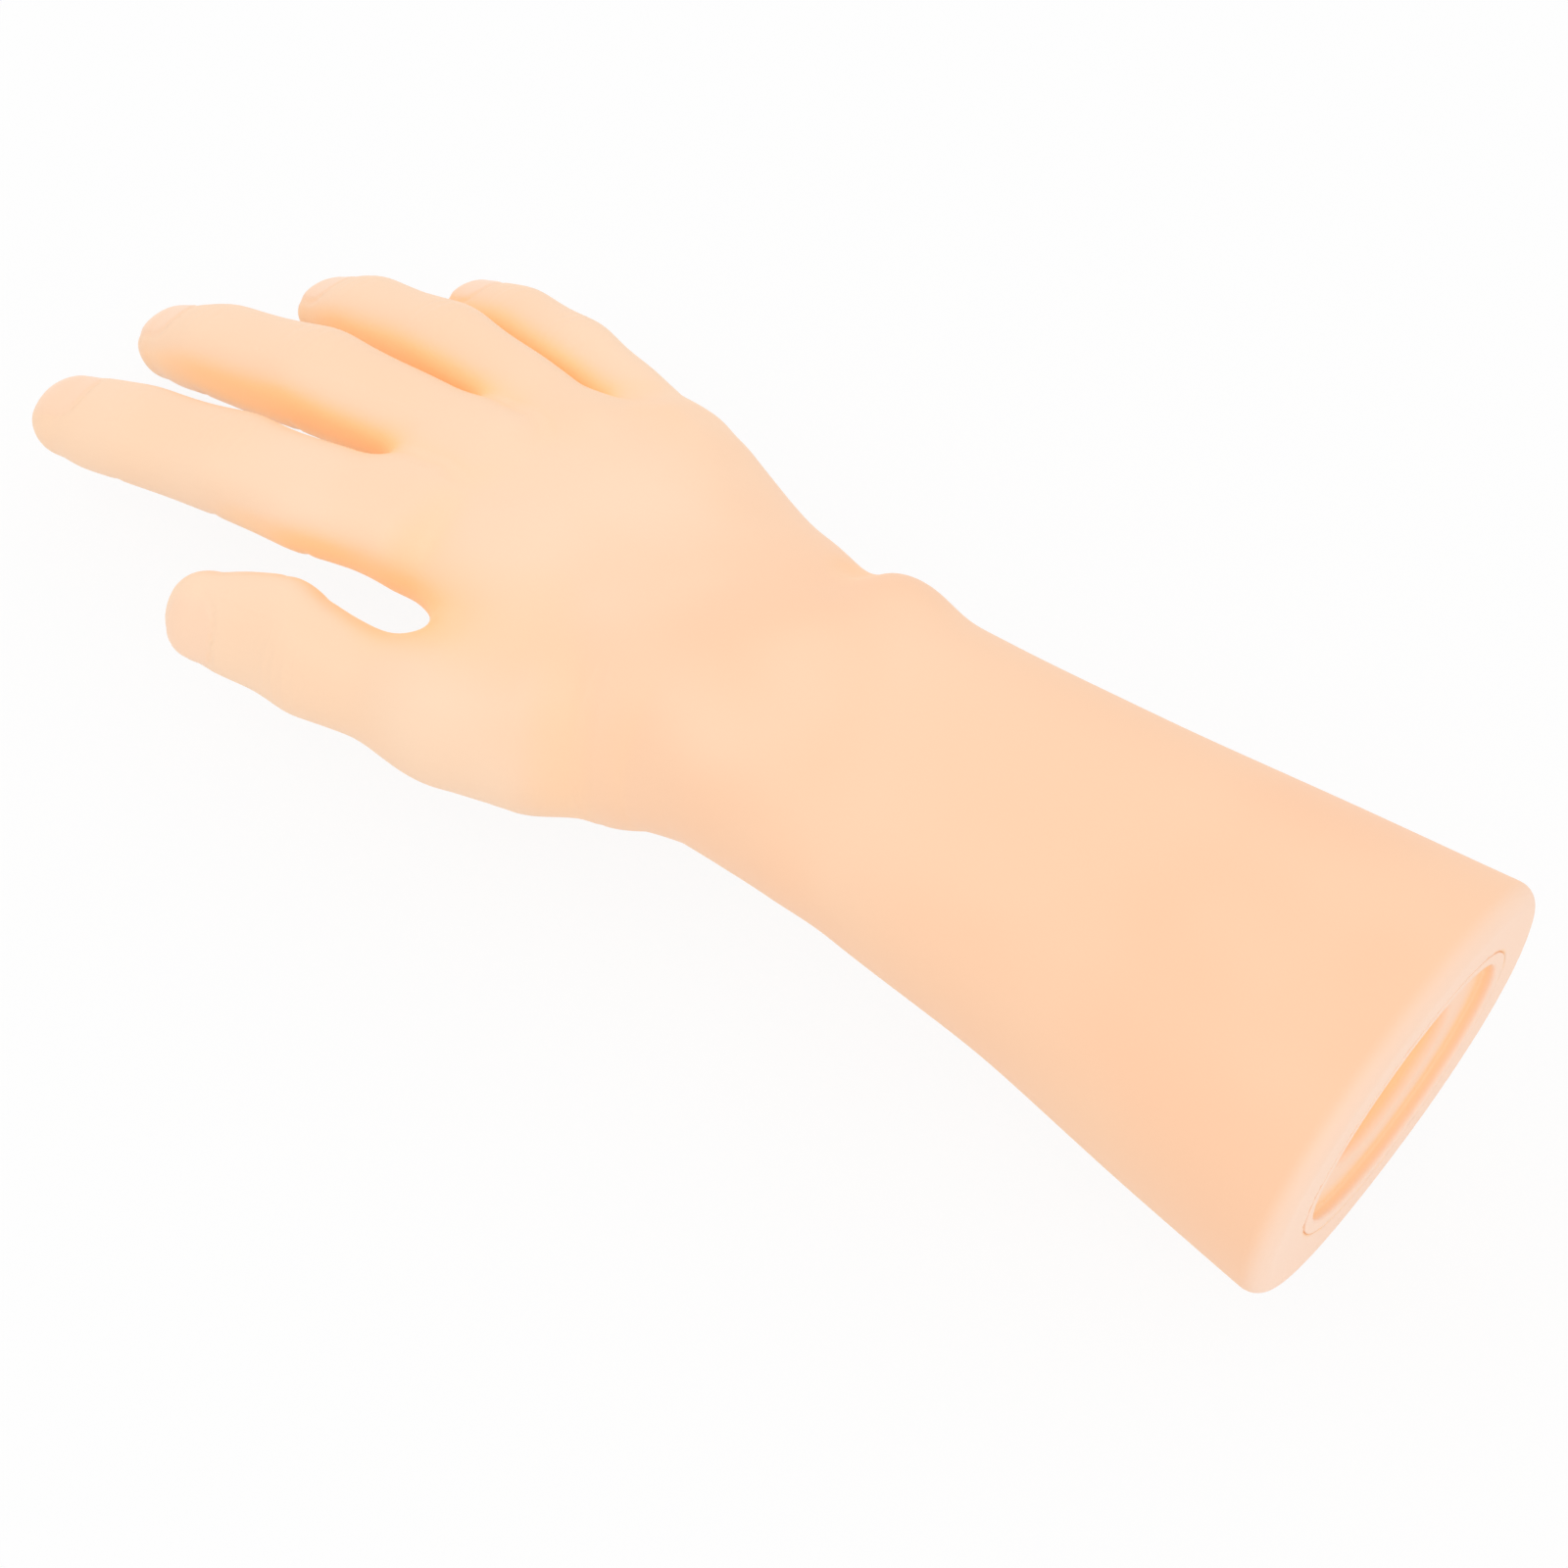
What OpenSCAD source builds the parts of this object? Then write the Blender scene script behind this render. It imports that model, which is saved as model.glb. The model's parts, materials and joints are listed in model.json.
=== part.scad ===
/* [Arm] */
// Rise of the arm axis towards the hand, in degrees
arm_rise = 4; // [0:0.5:8]
// Distance from the flat arm end to the wrist centre
arm_len = 143; // [120:1:180]
// Width of the arm at its end
end_w = 96; // [86:1:112]
// Height of the arm at its end
end_h = 77; // [68:1:90]
// Width at the wrist
wrist_w = 65; // [58:1:76]
// Height at the wrist
wrist_h = 48; // [42:1:56]
// Radius of the rounded rim at the arm end
rim_r = 5; // [4:0.5:8]
// Wall of the vinyl glove
glove_wall = 2; // [1.6:0.1:2.6]
// Wall of the glove across the flat arm end
lip_wall = 3; // [2:0.5:4]

/* [Arm end cap] */
// Width of the stepped recess
recess_w = 62; // [56:1:68]
// Height of the stepped recess
recess_h = 48; // [44:1:54]
// Depth of the stepped recess
recess_depth = 3; // [2:0.5:8]
// Width of the hollow inside the recess
hollow_w = 38; // [30:1:44]
// Height of the hollow inside the recess
hollow_h = 29; // [26:1:34]
// Wall of the end cap
cap_wall = 3; // [2:0.5:4]

/* [Arm tube] */
// Outer diameter of the arm tube
tube_d = 22; // [20:1:25]
// Bore of the arm tube, which takes the arm's spigot
tube_bore = 18; // [15:0.5:18.5]
// Length of the bore that the spigot may fill
bore_len = 60; // [40:5:70]
// Length of the arm tube
tube_len = 90; // [85:1:100]
// Depth of the tube's mouth behind the arm end
tube_inset = 22; // [18:1:26]
// Width of the clamp on the tube's mouth
clamp_len = 11; // [9:1:13]
// Wall of the clamp
clamp_wall = 3.2; // [2.5:0.1:4]
// Diameter of the clamp's screw
clamp_screw_d = 4; // [3:1:4]

/* [Wrist] */
// Turn of the hand towards the little finger, in degrees
hand_turn = 12; // [6:1:16]
// Droop of the hand below the arm axis, in degrees
hand_droop = 13; // [8:1:16]
// Roll of the hand, little finger side down, in degrees
hand_roll = 9; // [4:1:12]
// Diameter of the wrist stud
stud_d = 10; // [8:1:12]
// Diameter of the wrist adaptor's head
adaptor_d = 24; // [22:1:28]

/* [Fingers: index, middle, ring, little] */
// Place of each knuckle across the palm
knuckle_x = [-15.5, 6, 24, 40]; // [-20:0.5:44]
// Place of each knuckle along the palm
knuckle_y = [91, 90.5, 82.5, 71]; // [66:0.5:96]
// Height of each knuckle in the palm
knuckle_z = [2, 4, 2, -3]; // [-5:0.5:6]
// Turn of each finger towards the little finger side, in degrees
spread = [-13.5, -5, 4, 7.5]; // [-16:0.5:10]
// Droop of each finger's first part, in degrees
droop = [6, 3, 0, -5]; // [-8:1:10]
// Distance from each knuckle to the hinge at the root of its finger
root_len = [23, 23, 22.5, 21]; // [20:0.5:26]
// Distance from each root hinge to the middle hinge
link_len = [21, 26, 22.5, 16]; // [15:0.5:30]
// Distance from each middle hinge to the finger's tip
tip_len = [49.5, 54.5, 53.5, 42]; // [36:0.5:60]
// Bend of each finger at its middle hinge, in degrees
bend = [4, 15, 20, 26]; // [0:1:28]
// Radius of each finger at its root
root_r = [10.6, 10.4, 9.7, 8.6]; // [8.4:0.1:11]
// Radius of each finger at its middle hinge
middle_r = [10, 10, 9.5, 8.3]; // [8:0.1:10.5]
// Radius of each fingertip
tip_r = [8, 8, 7.7, 6.9]; // [6.8:0.1:8.6]

/* [Thumb] */
// Place of the thumb's root hinge in the hand
thumb_at = [-41.5, 54, -11]; // [-46:0.5:60]
// Turn of the thumb away from the fingers, in degrees
thumb_turn = 17; // [12:1:24]
// Droop of the thumb, in degrees
thumb_droop = 4; // [0:1:12]
// Roll of the thumb's hinges towards the palm, in degrees
thumb_roll = 55; // [45:1:65]
// Distance between the thumb's two hinges
thumb_link_len = 33.5; // [29:0.5:38]
// Distance from the thumb's second hinge to its tip
thumb_tip_len = 31.5; // [28:0.5:36]
// Bend of the thumb at its second hinge, in degrees
thumb_bend = 2; // [0:1:15]
// Radius of the thumb at its root
thumb_root_r = 12.5; // [11:0.1:14]
// Radius of the thumb at its second hinge
thumb_middle_r = 11.8; // [10:0.1:13]
// Radius of the thumb's tip
thumb_tip_r = 9.6; // [8:0.1:11]

/* [Armature] */
// Width of the links and forks
link_w = 8; // [7:0.5:8.5]
// Height of the links and forks
link_h = 7; // [6:0.5:7.5]
// Width of each hinge tongue
tongue_w = 4; // [3:0.5:5]
// Diameter of the hinge pins
pin_d = 3; // [2:0.5:3.5]
// Length of a finger's knuckle block behind its hinge
block_len = 41; // [38:1:43]
// Length of the thumb's knuckle block behind its hinge
thumb_block_len = 34; // [30:1:36]
// Height of the chassis plate's top face in the hand
plate_top = -8.5; // [-9.5:0.25:-8.25]
// Thickness of the chassis plate
plate_t = 2; // [1.5:0.25:2.5]
// Width of the chassis plate's arms
plate_w = 10; // [9:0.5:12]
// Diameter of the chassis screws
screw_d = 4; // [3:1:4]

/* [Fits] */
// Radial clearance of a hinge pin in the tongue that turns on it
running_gap = 0.05; // [0.02:0.01:0.09]
// Side clearance of a tongue in its fork
side_gap = 0.1; // [0.05:0.05:0.3]
// Radial clearance of pins and spigots that are fixed in their holes
fixed_gap = 0.01; // [0.005:0.005:0.02]
// Clearance around a soft piece
soft_gap = 0.3; // [0.2:0.05:0.5]
// Half length of the soft fold around a hinge
fold_half = 5; // [4.5:0.5:6]
// Wall of a soft fold
fold_wall = 1.6; // [1.2:0.1:2]

/* [Hidden] */

$fn = 48;
form_fn = 24; // facets round a slice of the glove and the foam
ball_fn = 16; // facets round their balls
cut = 1; // overshoot of a cut through a face
slice_t = 0.2; // thickness of a slice of the form
skin_colour = [0.996, 0.85, 0.74];
foam_colour = [0.93, 0.86, 0.7];
aluminium_colour = [0.78, 0.79, 0.81];
steel_colour = [0.6, 0.61, 0.63];

end_y = -tube_inset; // flat arm end, measured from the tube's mouth
wrist_y = end_y + arm_len;
foam_split_y = wrist_y - 18; // where the arm's foam meets the palm's foam
collar_w = hollow_w + 2 * cap_wall; // collar round the hollow
collar_h = hollow_h + 2 * cap_wall;
pocket_w = max(tube_d + 2 * clamp_wall + 24, collar_w + 2); // room for the clamp behind the cap
pocket_h = max(tube_d + 2 * clamp_wall + 12, collar_h + 2);
clamp_y = 1; // clamp behind the tube's mouth
pocket_end = clamp_y + clamp_len + 2;
lug_x = tube_d / 2 + clamp_wall + 3; // clamp screw, from the tube's axis
lug_h = 6;
spigot_r = tube_bore / 2 - 0.5; // spigot of the wrist adaptor in the tube's narrow end

cavity_r = norm([link_w, link_h]) / 2 + 0.2; // room in the sleeves for the links
shoulder = link_h / 2 + 1.2; // a link's shoulder, from its hinge
tip_margin = 8; // soft fingertip beyond its link
rear_post = 4; // last post of a knuckle block, from its rear end
post_gap = 9; // between a block's two posts
post_r = 4;
lug_t = 4; // thickness of the lug from the thumb's block to a post
thumb_lug = 10.5; // side step from the thumb's block to its posts
screw_reach = 5.5; // chassis screws above the plate
screw_head_h = 1.6;
screw_head_r = 3.3;
plate_end = 4.3; // plate beyond the last post
plate_bend = 1; // overlap of an arm's two lengths beyond the first post
little_step = -1.5; // side step from the little finger's block to its posts

heel_y = 14; // rear face of the chassis plate's heel, from the wrist centre
heel_t = 4;
heel_w = 26;
heel_top = 12;
room_top = 3; // top of the foam's room for the plate and the posts
washer_t = 1.5;
washer_r = 8.2;
nut_t = 8;
nut_r = 9.4;
stud_y = [4, heel_y + heel_t + washer_t + nut_t + 3];

// Slices of the arm: share of the way from the end to the wrist, and share of the change of size
arm_steps = [[0.25, 0.3], [0.5, 0.6], [0.74, 0.86], [0.93, 0.99]];
// Slices of the palm: distance from the wrist, middle across, middle height, half width, half height
palm_steps = [[4, 1, 0, 32.5, 23.6], [24, 5, -1, 33, 21], [44, 9, -2, 35, 18.5], [62, 11.8, -2, 37.3, 17],
    [76, 11.8, -2.3, 37.3, 16.5], [86, 4, -2.8, 30.5, 15.6], [95, 0, -1, 24, 12], [102, -7, 0.5, 14, 8.5]];
thenar_at = [-19, 22, -8]; // ball of the thumb
thenar_r = 19;
thumb_web = [[-10, 57, -2, 12], [-29, 36.5, -9, 10]]; // web from the thumb to the index: places and radii

// A digit: knuckle, turn, droop, roll, knuckle to root hinge, lengths, bend, radii, block, side lug
thumb = [thumb_at, -thumb_turn, thumb_droop, -thumb_roll, 0, thumb_link_len, thumb_tip_len, thumb_bend,
    thumb_root_r, thumb_middle_r, thumb_tip_r, thumb_block_len, thumb_lug];
index = finger(0);
middle = finger(1);
ring = finger(2);
little = finger(3);
digits = [index, middle, ring, little, thumb];

function finger(i) = [[knuckle_x[i], knuckle_y[i], knuckle_z[i]], spread[i], droop[i], 0, root_len[i],
    link_len[i], tip_len[i], bend[i], root_r[i], middle_r[i], tip_r[i], block_len,
    i == 3 ? little_step : 0];
function digit_link(d) = d[5];
function digit_tip(d) = d[6];
function digit_root_r(d) = d[8];
function digit_middle_r(d) = d[9];
function digit_tip_r(d) = d[10];
function digit_block(d) = d[11];
function along(d) = [sin(d[1]) * cos(d[2]), cos(d[1]) * cos(d[2]), -sin(d[2])];
function root_at(d) = d[0] + along(d) * d[4];
function post_at(d, i) = root_at(d) - along(d) * (digit_block(d) - rear_post - i * post_gap) + [d[12], 0, 0];

// Places what is drawn along the arm, with +Y from the arm end to the hand
module laid() {
    rotate([arm_rise, 0, 0]) children();
}

// Places what is drawn in the hand, with the wrist centre as its origin
module in_hand() {
    translate([0, wrist_y, 0]) rotate([0, hand_roll, 0]) rotate([0, 0, -hand_turn])
        rotate([-hand_droop, 0, 0]) children();
}

// Places what is drawn on a digit's first part: origin at its root hinge, +Y along it, +Z out of its back
module at_root(d) {
    in_hand() translate(root_at(d)) rotate([0, 0, -d[1]]) rotate([-d[2], 0, 0]) rotate([0, d[3], 0]) children();
}

// Places what is drawn on a digit's last part: origin at its middle hinge
module at_middle(d) {
    at_root(d) translate([0, digit_link(d), 0]) rotate([-d[7], 0, 0]) children();
}

module along_y(r, y0, y1) {
    translate([0, y0, 0]) rotate([-90, 0, 0]) cylinder(r = r, h = y1 - y0);
}

module across_x(r, w) {
    rotate([0, 90, 0]) cylinder(r = r, h = w, center = true);
}

module block(w, y0, y1, h) {
    translate([-w / 2, y0, -h / 2]) cube([w, y1 - y0, h]);
}

module oval(w, h, y0, y1) {
    translate([0, y1, 0]) rotate([90, 0, 0]) linear_extrude(y1 - y0)
        polygon([for (i = [0:63]) [w / 2 * cos(i * 360 / 64), h / 2 * sin(i * 360 / 64)]]);
}

// One slice of the form: two discs, whose hull is a flat-sided oval
module slice(x, y, z, half_w, half_h) {
    r = min(half_w, half_h);
    for (side = [-1, 1]) {
        translate([x + side * (half_w - r), y, z]) rotate([-90, 0, 0])
            cylinder(r = r, h = slice_t, $fn = form_fn);
    }
}

module arm_slice(step, inset) {
    slice(0, end_y + arm_len * step[0], 0, (end_w + (wrist_w - end_w) * step[1]) / 2 - inset,
        (end_h + (wrist_h - end_h) * step[1]) / 2 - inset);
}

// A slice of the rounded rim, from 0 degrees on the flat end to 90 degrees on the side
module rim_slice(a, inset, start) {
    drop = rim_r * (1 - sin(a)) + inset;
    slice(0, end_y + start + rim_r * (1 - cos(a)), 0, end_w / 2 - drop, end_h / 2 - drop);
}

// The foremost slice is drawn back too
module palm_slice(i, inset) {
    step = palm_steps[i];
    back = i == len(palm_steps) - 1 ? inset : 0;
    in_hand() slice(step[1], step[0] - back, step[2], step[3] - inset, step[4] - inset);
}

module ball(at, r) {
    in_hand() translate(at) sphere(r = r, $fn = ball_fn);
}

module stub(d, inset, reach) {
    at_root(d) along_y(digit_root_r(d) - inset, reach - slice_t, reach, $fn = form_fn);
}

// The arm and the palm in one form: drawn in by inset, begun at start, with finger roots up to reach
module form(inset, start, reach) {
    for (a = [0, 30, 60]) {
        hull() {
            rim_slice(a, inset, start);
            rim_slice(a + 30, inset, start);
        }
    }
    hull() {
        rim_slice(90, inset, start);
        arm_slice(arm_steps[0], inset);
    }
    for (i = [1:len(arm_steps) - 1]) {
        hull() {
            arm_slice(arm_steps[i - 1], inset);
            arm_slice(arm_steps[i], inset);
        }
    }
    hull() {
        arm_slice(arm_steps[len(arm_steps) - 1], inset);
        palm_slice(0, inset);
    }
    for (i = [1:len(palm_steps) - 1]) {
        hull() {
            palm_slice(i - 1, inset);
            palm_slice(i, inset);
        }
    }
    for (d = [index, middle, ring, little]) {
        hull() {
            stub(d, inset, reach);
            stub(d, inset + 1, -d[4]);
        }
    }
    hull() {
        ball(thenar_at, thenar_r - inset);
        stub(thumb, inset, reach);
    }
    hull() {
        ball(thenar_at, thenar_r - 3 - inset);
        for (w = thumb_web) ball([w[0], w[1], w[2]], w[3] - inset);
    }
}

module hand_glove() {
    color(skin_colour) laid() difference() {
        form(0, 0, -fold_half);
        form(glove_wall, lip_wall, -fold_half + cut);
        oval(cap_w(), cap_h(), end_y - cut, end_y + lip_wall + cut);
    }
}

function cap_w() = recess_w + 2 * cap_wall;
function cap_h() = recess_h + 2 * cap_wall;

// A stepped oval plate, with a collar from its hollow to the tube's mouth
module end_cap() {
    color(skin_colour) laid() difference() {
        union() {
            oval(cap_w() - 2 * fixed_gap, cap_h() - 2 * fixed_gap, end_y, end_y + recess_depth + cap_wall);
            oval(collar_w, collar_h, end_y + recess_depth, -soft_gap);
        }
        oval(recess_w, recess_h, end_y - cut, end_y + recess_depth);
        oval(hollow_w, hollow_h, end_y, cut);
    }
}

module arm_foam() {
    color(foam_colour) laid() difference() {
        form(glove_wall + soft_gap, lip_wall + soft_gap, -fold_half);
        translate([-end_w, foam_split_y, -end_w]) cube(2 * end_w);
        oval(cap_w() + 2 * soft_gap, cap_h() + 2 * soft_gap, end_y - cut,
            end_y + recess_depth + cap_wall + soft_gap);
        oval(pocket_w, pocket_h, end_y, pocket_end);
        along_y(tube_d / 2 + soft_gap, 0, wrist_y);
    }
}

module palm_foam() {
    color(foam_colour) laid() difference() {
        form(glove_wall + soft_gap, lip_wall + soft_gap, -fold_half - soft_gap);
        translate([-end_w, foam_split_y + soft_gap - 2 * end_w, -end_w]) cube(2 * end_w);
        along_y(tube_d / 2 + soft_gap, 0, wrist_y, $fn = form_fn);
        in_hand() chassis_room($fn = form_fn);
        for (d = digits) {
            at_root(d) block(link_w + 2 * soft_gap, -digit_block(d) - soft_gap, cut, link_h + 2 * soft_gap);
        }
    }
}

// Room in the foam for the wrist adaptor, the nut, the chassis plate with its heel, screws and posts
module chassis_room() {
    bottom = plate_top - plate_t - screw_head_h - soft_gap;
    along_y(adaptor_d / 2 + 2 * soft_gap, -adaptor_d / 2 - soft_gap, stud_y[1] + cut);
    translate([-heel_w / 2 - 2 * soft_gap, heel_y - 2 * soft_gap, bottom - soft_gap])
        cube([heel_w + 4 * soft_gap, heel_t + 4 * soft_gap, heel_top - bottom + 2 * soft_gap]);
    translate([0, 0, bottom]) linear_extrude(room_top - bottom) plate_outline(soft_gap);
    for (i = [0, 1]) {
        at = post_at(thumb, i);
        translate([at[0] - thumb_lug, at[1] - post_r - soft_gap, bottom])
            cube([thumb_lug, 2 * (post_r + soft_gap), room_top - bottom]);
    }
}

module arm_tube() {
    color(aluminium_colour) laid() difference() {
        along_y(tube_d / 2, 0, tube_len);
        along_y(tube_bore / 2, -cut, bore_len);
        along_y(spigot_r, bore_len - cut, tube_len + cut);
    }
}

module tube_clamp() {
    lug = lug_x + clamp_screw_d / 2 + 2.5;
    color(aluminium_colour) laid() translate([0, clamp_y, 0]) difference() {
        union() {
            along_y(tube_d / 2 + clamp_wall, 0, clamp_len);
            translate([0, 0, -lug_h]) cube([lug, clamp_len, 2 * lug_h]);
        }
        along_y(tube_d / 2 + fixed_gap, -cut, clamp_len + cut);
        translate([0, -cut, -1]) cube([lug + cut, clamp_len + 2 * cut, 2]);
        translate([lug_x, clamp_len / 2, 0]) cylinder(r = clamp_screw_d / 2 + fixed_gap, h = 4 * lug_h, center = true);
    }
}

module clamp_screw() {
    head_r = clamp_screw_d * 0.85;
    color(steel_colour) laid() translate([lug_x, clamp_y + clamp_len / 2, 0]) difference() {
        union() {
            translate([0, 0, -lug_h]) cylinder(r = clamp_screw_d / 2, h = 2 * lug_h);
            translate([0, 0, lug_h]) cylinder(r = head_r, h = clamp_screw_d * 0.8);
        }
        translate([0, 0, lug_h + 1]) cylinder(r = head_r * 0.5, h = clamp_screw_d, $fn = 6);
    }
}

module wrist_adaptor() {
    color(aluminium_colour) laid() difference() {
        union() {
            along_y(spigot_r - fixed_gap, bore_len + 2, tube_len + cut);
            along_y(tube_d / 2 - 0.5, tube_len, wrist_y);
            translate([0, wrist_y, 0]) sphere(r = adaptor_d / 2);
            in_hand() along_y(adaptor_d / 2, 0, heel_y);
        }
        in_hand() along_y(stud_d / 2 + fixed_gap, stud_y[0] - cut, heel_y + cut);
    }
}

module wrist_stud() {
    color(steel_colour) laid() in_hand() along_y(stud_d / 2, stud_y[0], stud_y[1]);
}

module wrist_washer() {
    front = heel_y + heel_t;
    color(steel_colour) laid() in_hand() difference() {
        along_y(washer_r, front, front + washer_t);
        along_y(stud_d / 2 + 0.3, front - cut, front + washer_t + cut);
    }
}

module wrist_nut() {
    front = heel_y + heel_t + washer_t;
    color(steel_colour) laid() in_hand() difference() {
        translate([0, front, 0]) rotate([-90, 0, 0]) cylinder(r = nut_r, h = nut_t, $fn = 6);
        along_y(stud_d / 2 + fixed_gap, front - cut, front + nut_t + cut);
    }
}

// One arm of the plate, with a square end beyond q and a disc about q
module strip(p, q, w, beyond) {
    reach = norm([q[0] - p[0], q[1] - p[1]]);
    translate([p[0], p[1]]) rotate(atan2(q[1] - p[1], q[0] - p[0])) translate([0, -w / 2])
        square([reach + beyond, w]);
    translate([q[0], q[1]]) circle(r = w / 2 - plate_w / 2 + post_r);
}

module plate_outline(grow) {
    w = plate_w + 2 * grow;
    translate([-heel_w / 2 - grow, heel_y - grow]) square([heel_w + 2 * grow, heel_t + 6 + 2 * grow]);
    for (d = digits) {
        strip([d[12] > 0 ? -6 : 2, heel_y + plate_w / 2], post_at(d, 0), w, plate_bend);
        strip(post_at(d, 0), post_at(d, 1), w, plate_end + grow);
    }
}

module each_post() {
    for (d = digits) {
        for (i = [0, 1]) {
            p = post_at(d, i);
            translate([p[0], p[1], 0]) children();
        }
    }
}

module chassis_plate() {
    bottom = plate_top - plate_t;
    color(aluminium_colour) laid() in_hand() difference() {
        union() {
            translate([0, 0, bottom]) linear_extrude(plate_t) plate_outline(0);
            translate([-heel_w / 2, heel_y, bottom]) cube([heel_w, heel_t, heel_top - bottom]);
        }
        along_y(stud_d / 2 + 0.1, heel_y - cut, heel_y + heel_t + cut);
        each_post() translate([0, 0, bottom - cut]) cylinder(r = screw_d / 2 + 0.2, h = plate_t + 2 * cut);
    }
}

module chassis_screws() {
    bottom = plate_top - plate_t;
    color(steel_colour) laid() in_hand() each_post() difference() {
        union() {
            translate([0, 0, bottom - screw_head_h]) cylinder(r = screw_head_r, h = screw_head_h);
            translate([0, 0, bottom - cut]) cylinder(r = screw_d / 2, h = plate_t + screw_reach + cut);
        }
        translate([0, 0, bottom - screw_head_h - cut]) cylinder(r = 1.4, h = cut + 1.2, $fn = 6);
    }
}

// Posts from the plate up to a block, with a side lug where the block runs beside them
module posts(d) {
    for (i = [0, 1]) {
        p = post_at(d, i);
        translate([p[0], p[1], plate_top]) cylinder(r = post_r, h = p[2] - plate_top);
        if (d[12] > 0) translate([p[0] - d[12], p[1] - post_r, max(p[2] - lug_t + 1, plate_top)])
            cube([d[12], 2 * post_r, lug_t]);
    }
}

module knuckle_block(d) {
    color(aluminium_colour) laid() difference() {
        union() {
            at_root(d) block(link_w, -digit_block(d), 0, link_h);
            at_root(d) across_x(link_h / 2, link_w);
            in_hand() posts(d);
        }
        at_root(d) block(tongue_w + 2 * side_gap, -shoulder, link_h, link_h + 2 * cut);
        at_root(d) across_x(pin_d / 2 + fixed_gap, link_w + 2 * cut);
        for (i = [0, 1]) {
            in_hand() translate([post_at(d, i)[0], post_at(d, i)[1], plate_top - cut])
                cylinder(r = screw_d / 2 + fixed_gap, h = screw_reach + cut + 0.3);
        }
    }
}

module hinge_pin() {
    across_x(pin_d / 2, link_w);
}

module knuckle_pin(d) {
    color(steel_colour) laid() at_root(d) hinge_pin();
}

module middle_pin(d) {
    color(steel_colour) laid() at_middle(d) hinge_pin();
}

// A tongue about the hinge at the origin, and the body up to y1
module tongued_bar(y1) {
    difference() {
        union() {
            across_x(link_h / 2, tongue_w);
            block(tongue_w, 0, shoulder + cut, link_h);
            block(link_w, shoulder, y1, link_h);
        }
        across_x(pin_d / 2 + running_gap, link_w + 2 * cut);
    }
}

module first_link(d) {
    far = digit_link(d);
    color(aluminium_colour) laid() at_root(d) difference() {
        union() {
            tongued_bar(far);
            translate([0, far, 0]) across_x(link_h / 2, link_w);
        }
        translate([0, far, 0]) block(tongue_w + 2 * side_gap, -shoulder, link_h, link_h + 2 * cut);
        translate([0, far, 0]) across_x(pin_d / 2 + fixed_gap, link_w + 2 * cut);
    }
}

module tip_link(d) {
    color(aluminium_colour) laid() at_middle(d) tongued_bar(digit_tip(d) - tip_margin - 1);
}

// A ring of revolution about +Y from points given as radius and distance
module turned(points) {
    rotate([-90, 0, 0]) rotate_extrude() polygon(points);
}

// Radius between two ends, drawn in a little at mid length as flesh between joints is
function between(r0, r1, t) = r0 + (r1 - r0) * t - 0.35 * sin(180 * t);

module sleeve(d) {
    y0 = fold_half;
    y1 = digit_link(d) - fold_half;
    color(skin_colour) laid() at_root(d) turned(concat([[cavity_r, y1], [cavity_r, y0]],
        [for (t = [0:0.25:1]) [between(digit_root_r(d), digit_middle_r(d), t), y0 + (y1 - y0) * t]]));
}

module fingertip(d) {
    y0 = fold_half;
    end = digit_tip(d);
    tip = digit_tip_r(d);
    round_y = end - tip * 1.25;
    color(skin_colour) laid() at_middle(d) turned(concat([[0, end - tip_margin], [cavity_r, end - tip_margin],
        [cavity_r, y0]],
        [for (t = [0:0.2:1]) [between(digit_middle_r(d), tip, t), y0 + (round_y - y0) * t]],
        [for (a = [15:15:75]) [tip * cos(a), round_y + (end - round_y) * sin(a)]], [[0, end]]));
}

module root_fold(d) {
    far = fold_half - 0.1;
    color(skin_colour) laid() at_root(d) difference() {
        along_y(digit_root_r(d), -far, far);
        along_y(digit_root_r(d) - fold_wall, -far - cut, far + cut);
    }
}

// A disc across each side of a middle hinge
module fold_ends(d, r, far) {
    at_root(d) translate([0, digit_link(d), 0]) along_y(r, -far, -far + slice_t, $fn = form_fn);
    at_middle(d) along_y(r, far - slice_t, far, $fn = form_fn);
}

module middle_fold(d) {
    far = fold_half - 0.1;
    color(skin_colour) laid() difference() {
        hull() fold_ends(d, digit_middle_r(d), far);
        hull() fold_ends(d, digit_middle_r(d) - fold_wall, far + cut);
    }
}

hand_glove();
end_cap();
arm_foam();
palm_foam();
arm_tube();
tube_clamp();
clamp_screw();
wrist_adaptor();
wrist_stud();
wrist_washer();
wrist_nut();
chassis_plate();
chassis_screws();
knuckle_block(index);  // index_knuckle_block
knuckle_pin(index);  // index_knuckle_pin
root_fold(index);  // index_root_fold
first_link(index);  // index_link
middle_pin(index);  // index_middle_pin
sleeve(index);  // index_sleeve
middle_fold(index);  // index_middle_fold
tip_link(index);  // index_tip_link
fingertip(index);  // index_fingertip
knuckle_block(middle);  // middle_knuckle_block
knuckle_pin(middle);  // middle_knuckle_pin
root_fold(middle);  // middle_root_fold
first_link(middle);  // middle_link
middle_pin(middle);  // middle_middle_pin
sleeve(middle);  // middle_sleeve
middle_fold(middle);  // middle_middle_fold
tip_link(middle);  // middle_tip_link
fingertip(middle);  // middle_fingertip
knuckle_block(ring);  // ring_knuckle_block
knuckle_pin(ring);  // ring_knuckle_pin
root_fold(ring);  // ring_root_fold
first_link(ring);  // ring_link
middle_pin(ring);  // ring_middle_pin
sleeve(ring);  // ring_sleeve
middle_fold(ring);  // ring_middle_fold
tip_link(ring);  // ring_tip_link
fingertip(ring);  // ring_fingertip
knuckle_block(little);  // little_knuckle_block
knuckle_pin(little);  // little_knuckle_pin
root_fold(little);  // little_root_fold
first_link(little);  // little_link
middle_pin(little);  // little_middle_pin
sleeve(little);  // little_sleeve
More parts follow.
